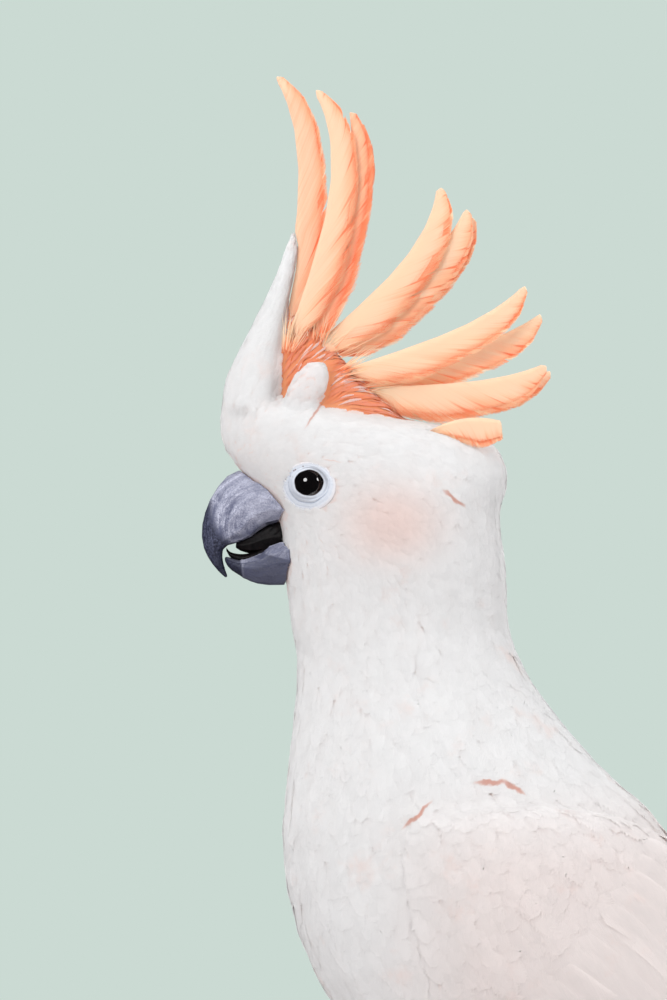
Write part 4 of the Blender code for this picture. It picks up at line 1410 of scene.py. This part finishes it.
rng = np.random.default_rng(55)
tufts = []
for number in ("02", "03", "05", "08", "10"):
    front, rear = blade("crest_feather_" + number)
    way = unit(front[6] - front[0])
    spread = rng.random(HAIRS_EACH)[:, None]
    starts = front[0] + (rear[0] - front[0]) * (spread * 1.3 - 0.15)
    starts = starts - way * rng.uniform(1.0, 4.5, (HAIRS_EACH, 1))
    starts[:, 1] += rng.uniform(-1.9, 1.9, HAIRS_EACH)
    fan = unit(rear[0] - front[0]) * ((spread - 0.5) * 0.7 + rng.normal(0, 0.12, (HAIRS_EACH, 1)))
    ways = unit(way + fan + rng.normal(0, 0.03, (HAIRS_EACH, 3)))
    lengths = rng.uniform(5.0, 11.0, HAIRS_EACH) * np.where(rng.random(HAIRS_EACH) < 0.12, 1.4, 1.0)
    bends = way * 1.5 + rng.normal(0, 0.8, (HAIRS_EACH, 3)) * (1, 0.5, 1)
    points, quads, k = hairs(starts, ways, lengths, rng.uniform(0.10, 0.32, HAIRS_EACH), bends)
    deep, barb, seed = (
        np.repeat(rng.uniform(*ends, HAIRS_EACH), 2 * HAIR_STEPS) for ends in ((0.2, 1.3), (0, 1), (0, 1))
    )
    marks = {"along": 0.02 + 0.35 * k, "deep": deep * (1 - 0.8 * k) - 0.3 * k, "barb": barb, "seed": seed}
    tufts.append((points, quads, marks, k))
points, quads, marks, k = joined_up(tufts)
strip = np.arange(len(points)) // (2 * HAIR_STEPS)
wide = math.ceil(math.sqrt(strip.max() + 1))
places = np.stack([(strip % wide + 0.5) / wide, (strip // wide + 0.1 + 0.8 * k) / wide], 1)
piece("crest_tufts", points, quads, CREST, marks, places)
print("tufts:", 2 * len(quads), "triangles")

# %% [markdown]
# ## Eyes and their bare rings
#
# The eye is a dark, wet ball. Its surface bulges a little in front, where the cornea is.
# Round it the lids end in a thin rolled rim, and outside that lies the bare ring of
# bluish skin with creases that run round the eye. The ring is made as a sheet from the
# rim outwards to under the first small feathers, its height a function of the distance
# from the rim, so that rim, groove and creases follow the eye's outline.

# %% Eye and ring finishes
def run_round(count):
    return np.linspace(0, 2 * np.pi, count, endpoint=False)


def grid_quads(rows, columns):
    """Quads of a grid whose columns run round."""
    i, j = np.meshgrid(np.arange(rows - 1), np.arange(columns), indexing="ij")
    here, beside = i * columns + j, i * columns + (j + 1) % columns
    return np.stack([here, beside, beside + columns, here + columns], -1).reshape(-1, 4)


def eye_finish():
    """Wet and glossy in front; dull and black where it turns in under the lids."""
    finish = Finish("eye")
    edge = finish.mark("rim")
    fibres = finish.noise(finish.place(), 1400.0, 3.0)
    colour = finish.blend(fibres.between(0.45, 0.8) * 0.5, paint(6, 5, 6), paint(20, 14, 13))
    wet = finish.shade(colour, 0.04, {"IOR": 1.6, "Coat Weight": 0.4, "Coat IOR": 1.6})
    dull = finish.shade(colour, 0.7, {"Specular IOR Level": 0.0})
    return finish.surface(finish.mixed(edge.between(0.93, 0.99), wet, dull))


def ring_finish():
    """Bare skin: pale blue, with painted shade greying its creases and groove, pinker outwards, with dots
    over the eye.
    """
    finish = Finish("eye_ring")
    grain = finish.noise(finish.place(), 1500.0, 4.0, 0.6)
    cells = finish.cells("F1", 900.0)
    # painted shade: the ring is greyer in its creases and its groove
    crease_shade = finish.mark("crease") + (grain - 0.5) * 0.5
    colour = finish.blend(crease_shade, paint(222, 226, 233), paint(160, 172, 192))
    colour = finish.blend(finish.mark("fade") * 0.8, colour, paint(226, 220, 220))
    colour = finish.blend(finish.mark("rim"), colour, paint(44, 30, 30))
    dashes = finish.mark("brow") * (1.0 - cells.between(0.14, 0.34)) * 0.8
    colour = finish.blend(dashes, colour, paint(120, 100, 95))
    relief = finish.bump(grain + cells * 0.5, 0.12)
    shade = finish.shade(colour, 0.5, {"Specular IOR Level": 0.35, "Normal": relief})
    return finish.surface(shade, glow=colour, share=0.08)


EYE_FINISH = eye_finish()
RING_FINISH = ring_finish()
print("eye finishes made")

# %% Eyeball
DISC_HALF = np.array([4.3, 3.85])
EYE_OUT = 0.8  # the ball stands this much further out than its solid
BALL_ROWS, BALL_COLUMNS = 40, 72


def eyeball(side, ball, radius):
    """A ball with a bulge in front, open at the back. Tilts are angles from straight out."""
    turn, tilt = run_round(BALL_COLUMNS), np.linspace(0.001, 2.2, BALL_ROWS)
    r = radius * (1 + 0.02 * bell(tilt, 0.0, 0.9))
    x, z = np.outer(np.sin(tilt), np.cos(turn)), np.outer(np.sin(tilt), np.sin(turn))
    out = np.stack([x, np.outer(np.cos(tilt), np.ones(BALL_COLUMNS)), z], -1)
    points = out * r[:, None, None] * (1, SIGN[side], 1) + ball
    quads = grid_quads(BALL_ROWS, BALL_COLUMNS)[:, :: -SIGN[side]]
    places = np.stack([np.tile(turn / 6.3, BALL_ROWS), np.repeat(tilt / 2.3, BALL_COLUMNS)], 1)
    marks = {"rim": np.repeat(tilt / 0.95, BALL_COLUMNS)}
    made = piece("eyeball_" + side, points.reshape(-1, 3), quads, EYE_FINISH, marks, places)
    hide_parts("eye_" + side)


print("an eyeball has", BALL_ROWS * BALL_COLUMNS, "points")

# %% [markdown]
# ## Lids and creases
#
# Rows run from under the lid's rim (below 0) to under the first small feathers (1). The
# lid's height over the ball comes first; it then settles into the cheek, with one groove
# close to the rim, a soft fold and two fine creases, which are deepest under the eye.

# %% Rows of a ring
RING_OUT = RING_HALF + 1.1  # the ring goes on under the first feathers
RING_ROWS = np.concatenate([np.linspace(-0.10, 0.10, 10), np.linspace(0.13, 1.0, 40)])
RING_COLUMNS = 160
LID_ROWS = (-0.10, -0.05, -0.015, 0.02, 0.06, 0.12, 0.3)
LID_HEIGHTS = (-0.9, -0.45, -0.03, 0.2, 0.34, 0.3, 0.1)
BROW_WAY = np.array([-0.55, 0.84])


def skin_depth(spots, sign):
    """How far out the skin is at places in the side view."""
    return np.array([abs(from_side(whole_skin, x, z, sign)[0][1]) for x, z in spots])


def bowl_terms(spots):
    x, z = (spots - RING_MIDDLE[[0, 2]]).T
    return np.stack([np.ones_like(x), x, z, x * x, x * z, z * z], 1)


def cheek_depth(spots, sign):
    """The depth of a smooth face over the eye's socket, fitted to the skin round the ring."""
    turn = run_round(60)
    rim = np.stack([np.cos(turn), np.sin(turn)], 1) * RING_HALF
    around = np.concatenate([RING_MIDDLE[[0, 2]] + rim * share for share in (1.05, 1.15, 1.25, 1.35)])
    fit = np.linalg.lstsq(bowl_terms(around), skin_depth(around, sign), rcond=None)[0]
    return bowl_terms(spots) @ fit


print("a ring has", len(RING_ROWS), "rows of", RING_COLUMNS, "points")

# %% Rings
def eye_ring(side, ball, radius):
    rows, turn, sign = RING_ROWS, run_round(RING_COLUMNS), SIGN[side]
    across = rows[:, None]
    around = np.stack([np.cos(turn), np.sin(turn)], 1)
    share = np.clip(rows, 0, 1)[:, None, None]
    wave = 1 + 0.012 * np.sin(5 * turn + 1.0) + 0.008 * np.sin(9 * turn)
    inner = ball[[0, 2]] + around * DISC_HALF * wave[:, None]
    outer = RING_MIDDLE[[0, 2]] + around * RING_OUT
    spots = inner + (outer - inner) * share + around * np.minimum(rows, 0)[:, None, None] * 3.0
    flat_spots = spots.reshape(-1, 2)
    face = cheek_depth(flat_spots, sign).reshape(spots.shape[:2])
    real = skin_depth(flat_spots, sign).reshape(spots.shape[:2])
    face = face + (real - face) * smooth_step(across, 0.8, 1.0)
    off = np.linalg.norm(spots - ball[[0, 2]], axis=-1)
    at_rim = np.hypot(*(around * DISC_HALF).T)
    on_ball = abs(ball[1]) + np.sqrt(radius**2 - np.minimum(off, at_rim + 0.05) ** 2)
    settle = smooth_step(across, 0.06, 0.5)
    lid = np.interp(rows, LID_ROWS, LID_HEIGHTS)[:, None]
    depth = (on_ball + lid) * (1 - settle) + (face + 0.25) * settle
    below, ahead = 0.5 - 0.5 * np.sin(turn), 0.5 - 0.5 * np.cos(turn)
    bends = 0.03 * np.sin(3 * turn + 0.7) + 0.015 * np.sin(8 * turn)
    fold_at = 0.44 + bends
    groove = -0.22 * bell(across, 0.24, 0.05) * (0.5 + 0.5 * below)
    fold = 0.34 * bell(across, fold_at - 0.11, 0.09) * (0.35 + 0.65 * below)
    crease = bell(across, fold_at, 0.035) * (0.3 + 0.7 * below)
    second = bell(across, 0.68 + bends, 0.03) * (0.15 + 0.85 * below * ahead)
    depth = depth + groove + fold - 0.22 * crease - 0.16 * second
    bare_ball = abs(ball[1]) + np.sqrt(np.maximum(radius**2 - off**2, 0.0)) + 0.16
    depth = np.where((across > 0.02) & (off < radius), np.maximum(depth, bare_ball), depth)
    depth = depth - 0.9 * smooth_step(across, 0.9, 1.0)
    points = np.stack([spots[..., 0], sign * depth, spots[..., 1]], -1)
    under_eye = smooth_step(below, 0.7, 0.95) * ahead
    over_eye = smooth_step(around @ BROW_WAY, 0.45, 0.95)
    marks = {
        "rim": np.repeat(bell(np.maximum(rows - 0.01, 0), 0.0, 0.03), RING_COLUMNS),
        # painted shade along the creases and in the groove
        "crease": np.clip(0.25 + 0.5 * crease + 0.35 * second - 1.2 * groove, 0, 1).ravel(),
        "fade": (smooth_step(across, 0.62, 0.95) * (1 - 0.8 * under_eye)).ravel(),
        "brow": (over_eye * smooth_step(across, 0.15, 0.5)).ravel(),
    }
    quads = grid_quads(len(rows), RING_COLUMNS)[:, ::sign]
    places = np.stack([np.tile(turn / 6.3, len(rows)), np.repeat(rows * 0.8 + 0.1, RING_COLUMNS)], 1)
    points = points.reshape(-1, 3)
    ring = piece("eye_ring_" + side, points, quads, RING_FINISH, marks, places)
    ring.visible_glossy = False


for side, sign in SIGN.items():
    low, high = box_of("eye_" + side)
    ball = middle_of("eye_" + side) + (0.0, sign * EYE_OUT, 0.0)
    radius = (high - low)[0] / 2
    eyeball(side, ball, radius)
    eye_ring(side, ball, radius)
print("eyes made, ball radius", round(float(radius), 2), "mm")

# %% [markdown]
# ## Bill and tongue
#
# The bill is horn that grows in layers and wears all the time: slate with a bluish
# bloom, dark and polished along the ridge and at the tip, scratched pale on the sides,
# and crackled finely all over. A painted highlight lies over the top of the upper bill, and
# painted shade under it and over its lip. The solid gives the form: it is wrapped in an
# even mesh, smoothed, and then worked. Modelling it from nothing would only repeat the
# solid.

# %% Horn finish
def horn_finish(name, light, mid, dark):
    finish = Finish(name)
    here = finish.place()
    bend = finish.noise(here, 220.0, 2.0)
    around = finish.mark("ring") * 0.62 + bend * 0.6
    turn = finish.mark("turn")
    streaks = finish.noise(finish.vector(around, turn * 0.22, 3.0), 1.0, 5.0, 0.62)
    hairs = finish.noise(finish.vector(around * 4.5, turn * 0.8, 8.0), 1.0, 3.0, 0.6)
    mottle = finish.noise(here, 1500.0, 4.0, 0.7)
    cloud = finish.noise(here, 260.0, 3.0, 0.6)
    crackle = 1.0 - finish.cells("DISTANCE_TO_EDGE", 1000.0).between(0.0, 0.10)
    # dark polished horn, with painted shade in it on the upper bill
    ridge = finish.mark("ridge")
    # worn pale horn, and on the upper bill also a painted highlight
    worn = finish.mark("worn")
    bare = 1.0 - ridge
    front = finish.mark("ring").between(7.5, 12.0) * 0.6 + 0.4
    scratch = (streaks - 0.5) * front + (cloud - 0.5) * 0.4 + (mottle - 0.5) * 0.8
    scratch = scratch.between(-0.16, 0.16) * bare
    colour = finish.blend(scratch, mid, light)
    colour = finish.blend(hairs.between(0.52, 0.72) * bare * 0.5, colour, paint(205, 206, 218))
    colour = finish.blend(worn * (mottle.between(0.3, 0.7) * 0.6 + 0.4), colour, light)
    specks = (mottle.between(0.46, 0.62) * 0.65 + crackle * 0.35) * (1.0 - worn * 0.6)
    colour = finish.blend(specks, colour, mid)
    edge = ridge + (cloud - 0.5) * 0.5 + (streaks - 0.5) * 0.5 + (mottle - 0.5) * 0.3
    colour = finish.blend(edge.between(0.1, 1.05), colour, dark)
    specks = (hairs.between(0.45, 0.7) * 0.3 + mottle.between(0.44, 0.6) * 0.7) * ridge
    colour = finish.blend(specks, colour, mid)
    colour = finish.blend(finish.mark("tip"), colour, paint(27, 29, 45))
    height = streaks * 0.5 + hairs * 0.2 - crackle * 0.35 + mottle * 0.35
    polish = {"Specular IOR Level": 0.45, "Coat Weight": ridge * 0.3, "Coat Roughness": 0.2}
    roughness = 0.36 + scratch * 0.3 + mottle * 0.15
    return finish.surface(finish.shade(colour, roughness, {"Normal": finish.bump(height, 0.16), **polish}))


BILL = horn_finish("bill_horn", paint(196, 198, 216), paint(88, 92, 118), paint(36, 39, 58))
# The bill's curve is part of a circle in the side view. Where a place lies on it is its
# distance from the middle of that circle and its turn down from level.
BILL_MIDDLE = EYE + np.array([-14.5, 0.0, -14.0])


def bill_place(points):
    side = points - BILL_MIDDLE
    return np.hypot(side[:, 0], side[:, 2]), np.degrees(np.arctan2(-side[:, 2], -side[:, 0]))


print("horn finish made, the bill's curve is round", BILL_MIDDLE.round(1))

# %% [markdown]
# ## The upper bill
#
# Its ridge is dark and polished, and so is the tip. A pale worn lip runs along the cutting
# edge, and low steps follow the curve where the horn grows out in layers. Painted shade
# darkens the faces that turn down and a band just over the lip, and a painted highlight
# lies as a pale band over the top of the curve.

# %% Upper bill
COLUMN = 0.5  # width of the strips in which the cutting edge is looked for

upper_points, upper_faces, upper_normals = smoothed(["bill_upper"], 0.34, 5)
low, high = box_of("bill_upper")
back, _, up = (upper_points - low).T
tip = upper_points[np.argmin(upper_points[:, 2])]
tip_away = np.linalg.norm((upper_points - tip)[:, [0, 2]], axis=1)
side_facing = np.abs(upper_normals[:, 1])
radius_at, turn_at = bill_place(upper_points)

dark_from = np.where(turn_at > -30, 14.6 - 0.135 * turn_at, 30.0)
ridge = smooth_step(radius_at - dark_from, -3.2, 2.4) * smooth_step(turn_at, -42, -20)
front = 0.8 * (1 - smooth_step(side_facing, 0.12, 0.45)) * (upper_normals[:, 0] < -0.3)
rear_corner = smooth_step(back - (high - low)[0], -6.5, -2.0) * (1 - smooth_step(up, 15.0, 18.0))
# painted shade on the faces that turn down
underside_shade = smooth_step(-upper_normals[:, 2], 0.75, 0.95) * (tip_away > 12)

column = (back / COLUMN).astype(int)
bottom = np.full(column.max() + 1, 1e3)
np.minimum.at(bottom, column, up)
above_edge = up - np.interp(back, COLUMN * (np.arange(len(bottom)) + 0.5), bottom)
behind_tip = smooth_step(back, 8.0, 9.5)
lip = bell(above_edge, 0.5, 0.5) * (side_facing > 0.2) * behind_tip
# painted shade in a band just over the lip
shade_over_lip = bell(above_edge, 1.9, 1.1) * behind_tip
ridge = np.maximum.reduce([ridge, front, 0.9 * rear_corner, 0.7 * underside_shade, 0.42 * shade_over_lip])

layers = np.sin(radius_at / 0.42 + 1.5 * np.sin(turn_at / 14)) * smooth_step(radius_at, 9, 13)
raised = 0.045 * layers * (1 - 0.6 * ridge) - 0.02
upper_points = upper_points + upper_normals * raised[:, None]
marks = {
    "ridge": ridge,
    # the worn lip, and a painted highlight as a pale band over the top of the curve
    "worn": np.maximum(lip * 0.9, 0.55 * smooth_step(-turn_at, 30, 62)),
    "tip": 0.6 * (1 - smooth_step(tip_away, 3.0, 11.0)),
    "ring": radius_at,
    "turn": turn_at / 12.0,
}
upper = piece("bill_upper_horn", upper_points, upper_faces, BILL, marks)
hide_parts("bill_upper")
print("upper bill:", len(upper_faces), "quads")

# %% [markdown]
# ## The lower bill
#
# It is a short cup. Its front is worn to a flat facet with a pale line at its edge, its
# rim is pale, and a plate of newer horn ends in a step towards the rear.

# %% Lower bill
lower_points, lower_faces, lower_normals = smoothed(["bill_lower"], 0.32, 4)
low, high = box_of("bill_lower")
back, _, up = (lower_points - low).T
depth, _, height = high - low
up_share = up / height
front_face = 4.6 + 1.2 * (1 - up_share)
facet = 1 - smooth_step(back, front_face - 0.4, front_face + 0.2)
line = bell(back, front_face + 0.3, 0.32) * (up_share > 0.1)
rim = smooth_step(lower_normals[:, 2], 0.72, 0.92)
plate = smooth_step(up_share + 0.25 * (back - depth) / 14, 0.56, 0.60)
plate *= smooth_step(back - depth, -8.5, -7.5)
radius_at, turn_at = bill_place(lower_points)
marks = {
    "ridge": np.clip(0.62 + 0.3 * facet - 0.25 * plate - 0.4 * rim, 0, 1),
    "worn": np.clip(0.85 * rim + 0.6 * line + 0.25 * plate, 0, 1),
    "tip": 0.5 * facet,
    "ring": radius_at * 1.5,
    "turn": turn_at / 8.0,
}
lower_points = lower_points + lower_normals * (0.12 * line + 0.10 * plate + 0.1 * rim)[:, None]
lower = piece("bill_lower_horn", lower_points, lower_faces, BILL, marks)
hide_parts("bill_lower")
print("lower bill:", len(lower_faces), "quads")

# %% [markdown]
# ## Tongue and mouth
#
# A cockatoo's tongue is short, thick and nearly black. It lies in the trough of the lower
# bill, and dark skin lines the mouth behind it. Both linings are soft forms swelled round
# a line, which is all that shows of them between the bills.

# %% Mouth
def tongue_finish():
    finish = Finish("tongue")
    grain = finish.noise(finish.place(), 800.0, 4.0, 0.6)
    colour = finish.blend(grain.between(0.3, 0.75), paint(5, 4, 5), paint(24, 17, 18))
    relief = finish.bump(grain, 0.25)
    return finish.surface(finish.shade(colour, 0.55, {"Specular IOR Level": 0.3, "Normal": relief}))


TONGUE = tongue_finish()
tongue_points, tongue_faces, _ = smoothed(["tongue"], 0.3, 6)
middle = middle_of("tongue")
tongue_points = middle + (tongue_points - middle) * (1.0, 1.0, 0.76) + (-0.4, 0.0, 2.0)
tongue = piece("tongue_flesh", tongue_points, tongue_faces, TONGUE)
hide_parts("tongue")

LINING_STATIONS = 24
LINING_COLUMNS = 28
# Offsets back and up from the eye, then half sizes to the side and up.
LININGS = {
    "mouth_lining": (
        (-17.5, -19.2, 1.5, 0.6),
        (-14.0, -17.2, 3.2, 2.4),
        (-10.5, -15.6, 4.2, 3.6),
        (-7.5, -15.0, 3.0, 3.0),
    ),
    "bill_trough": (
        (-25.7, -20.6, 0.4, 0.5),
        (-24.2, -22.4, 1.6, 0.9),
        (-21.0, -23.3, 3.0, 1.25),
        (-17.5, -22.7, 3.8, 1.2),
        (-13.5, -20.8, 3.6, 1.0),
    ),
}


def curve(stations, count):
    """Smooth rows through a few given ones."""
    stations = np.array(stations, float)
    at = np.linspace(0, len(stations) - 1, count)
    i = np.clip(at.astype(int), 0, len(stations) - 2)
    t = (at - i)[:, None]
    before, after = 2 * stations[:1] - stations[1:2], 2 * stations[-1:] - stations[-2:-1]
    padded = np.concatenate([before, stations, after])
    a, b, c, d = (padded[i + k] for k in range(4))
    bent = (2 * a - 5 * b + 4 * c - d) * t**2 + (3 * b - a - 3 * c + d) * t**3
    return 0.5 * (2 * b + (c - a) * t + bent)


for name, stations in LININGS.items():
    back, up, half_side, half_up = curve(stations, LINING_STATIONS).T[..., None]
    turn = run_round(LINING_COLUMNS)
    rings = [EYE[0] + back + 0 * turn, half_side * np.cos(turn), EYE[2] + up + half_up * np.sin(turn)]
    quads = grid_quads(LINING_STATIONS, LINING_COLUMNS)
    piece(name, np.stack(rings, -1).reshape(-1, 3), quads, TONGUE)
print("tongue:", len(tongue_faces), "quads, and", len(LININGS), "linings")

# %% [markdown]
# ## Feet and claws
#
# Two toes point forward and two back. The skin of the feet is grey and covered in small
# scales, which are worked into the mesh as cells with grooves between them. The claws are
# dark horn, smooth, with fine lines along them.

# %% Scaly skin
def looked_up(points):
    """A tree that finds the nearest of some points."""
    tree = KDTree(len(points))
    for i, p in enumerate(points):
        tree.insert(Vector(p), i)
    tree.balance()
    return tree


def cell_relief(points, gap, groove, rng):
    """Grooves between small cells scattered over points: 1 in a groove, 0 inside a cell."""
    tree = looked_up(points)
    middles, taken = [], np.zeros(len(points), bool)
    for i in rng.permutation(len(points)):
        if not taken[i]:
            middles.append(points[i])
            for _, near, _ in tree.find_range(Vector(points[i]), gap * 0.85):
                taken[near] = True
    cells = looked_up(middles)
    nearest = np.array([[found[2] for found in cells.find_n(Vector(p), 2)] for p in points])
    return bell(nearest[:, 1] - nearest[:, 0], 0.0, groove)


def leg_finish():
    finish = Finish("leg_skin")
    grain = finish.noise(finish.place(), 1200.0, 3.0, 0.6)
    cloud = finish.noise(finish.place(), 120.0, 2.0)
    colour = finish.blend(cloud, paint(108, 109, 116), paint(136, 135, 140))
    colour = finish.blend(finish.mark("groove") * 0.8, colour, paint(62, 62, 70))
    colour = finish.blend((grain - 0.4) * 0.6, colour, paint(168, 166, 170))
    return finish.surface(finish.shade(colour, 0.62, {"Normal": finish.bump(grain, 0.12)}))


def claw_finish():
    finish = Finish("claw_horn")
    lines = finish.noise(finish.place((1.0, 1.0, 0.3)), 1500.0, 4.0, 0.6)
    colour = finish.blend(lines, paint(42, 42, 48), paint(82, 80, 86))
    relief = finish.bump(lines, 0.08)
    return finish.surface(finish.shade(colour, 0.35, {"Coat Weight": 0.2, "Normal": relief}))


LEG = leg_finish()
CLAW = claw_finish()
for side in SIGN:
    points, faces, normals = smoothed(["foot_" + side], 0.45, 3)
    grooves = cell_relief(points, 1.7, 0.34, np.random.default_rng(5))
    points = points + normals * (0.12 - 0.30 * grooves)[:, None]
    points[:, 2] = np.maximum(points[:, 2], 0.02)  # the sole stays on the floor
    foot = piece("foot_skin_" + side, points, faces, LEG, {"groove": grooves})
    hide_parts("foot_" + side)
    for node in sorted(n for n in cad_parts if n.startswith("claw_" + side)):
        points, faces, _ = smoothed([node], 0.25, 4)
        claw = piece("horn_" + node, points, faces, CLAW)
        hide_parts(node)
print("feet made")

# %% [markdown]
# ## Stage, light and camera
#
# A long lens a little over a metre away looks along +Y at the bird's left side. Two soft
# round lamps stand in front, one to the left and one far to the right. Two larger ones
# behind and one overhead open up the far side, and the pale room fills the rest, so that
# shadows are faint. The camera sees the room as plain pale green.

# %% Stage
WALL = paint(203, 218, 211)
FILL = (0.985, 0.99, 1.0, 1.0)
AIM = Vector(((cad_box[0][0] + cad_box[1][0]) / 2 - 0.0856, 0.0, 0.248))
CAMERA_BACK = 1.35
VIEW_HEIGHT = 0.310
LAMPS_AWAY = 1.3
FLOOR_RADIUS = 0.75


def floor_finish():
    finish = Finish("floor")
    grain = finish.noise(finish.place(), 6.0)
    colour = finish.blend(grain * 0.2, paint(203, 198, 197), paint(197, 192, 191))
    return finish.surface(finish.shade(colour, 0.9))


bpy.ops.mesh.primitive_circle_add(vertices=96, radius=FLOOR_RADIUS, fill_type="NGON", location=(0, 0, 0))
floor = bpy.context.object
floor.name = "floor"
floor.data.materials.append(floor_finish())
floor.visible_glossy = False

world = bpy.data.worlds.new("room")
bpy.context.scene.world = world
room = Finish(world)
fill = room.node("ShaderNodeBackground", None, {"Color": FILL, "Strength": 0.76})
dark = room.node("ShaderNodeBackground", None, {"Strength": 0.03})
wall = room.node("ShaderNodeBackground", None, {"Color": WALL})
glossy = room.node("ShaderNodeLightPath", output="Is Glossy Ray")
seen = room.node("ShaderNodeLightPath", output="Is Camera Ray")
shown = room.mixed(seen, room.mixed(glossy, fill, dark), wall)
room.node("ShaderNodeOutputWorld", None, {"Surface": shown})


def lamp(name, right, up, size, power):
    """A round soft lamp, placed by degrees to the right of the camera and up from level."""
    data = bpy.data.lights.new(name, "AREA")
    data.shape = "DISK"
    data.size = size
    data.energy = power
    obj = bpy.data.objects.new(name, data)
    turn, rise = math.radians(right), math.radians(up)
    away = Vector((math.sin(turn) * math.cos(rise), -math.cos(turn) * math.cos(rise), math.sin(rise)))
    obj.location = AIM + away * LAMPS_AWAY
    obj.rotation_euler = (-away).to_track_quat("-Z", "Y").to_euler()
    bpy.context.scene.collection.objects.link(obj)
    return obj


lamp("key", -28, 20, 0.56, 7.5)
lamp("side", 71, 20, 0.44, 4.4)
for name, right in (("back right", 138), ("back left", -142)):
    lamp(name, right, 24, 0.9, 4.0).visible_glossy = False
lamp("top", -30, 64, 1.1, 6.4).visible_glossy = False

camera_data = bpy.data.cameras.new("camera")
camera_data.sensor_fit = "VERTICAL"
camera_data.sensor_height = 36.0
camera_data.lens = camera_data.sensor_height * CAMERA_BACK / VIEW_HEIGHT
camera_data.clip_start = 0.05
camera = bpy.data.objects.new("camera", camera_data)
camera.location = AIM + Vector((0, -CAMERA_BACK, 0))
camera.rotation_euler = (math.radians(90), 0, 0)
bpy.context.scene.collection.objects.link(camera)
bpy.context.scene.camera = camera
bpy.context.scene.view_settings.view_transform = "Standard"
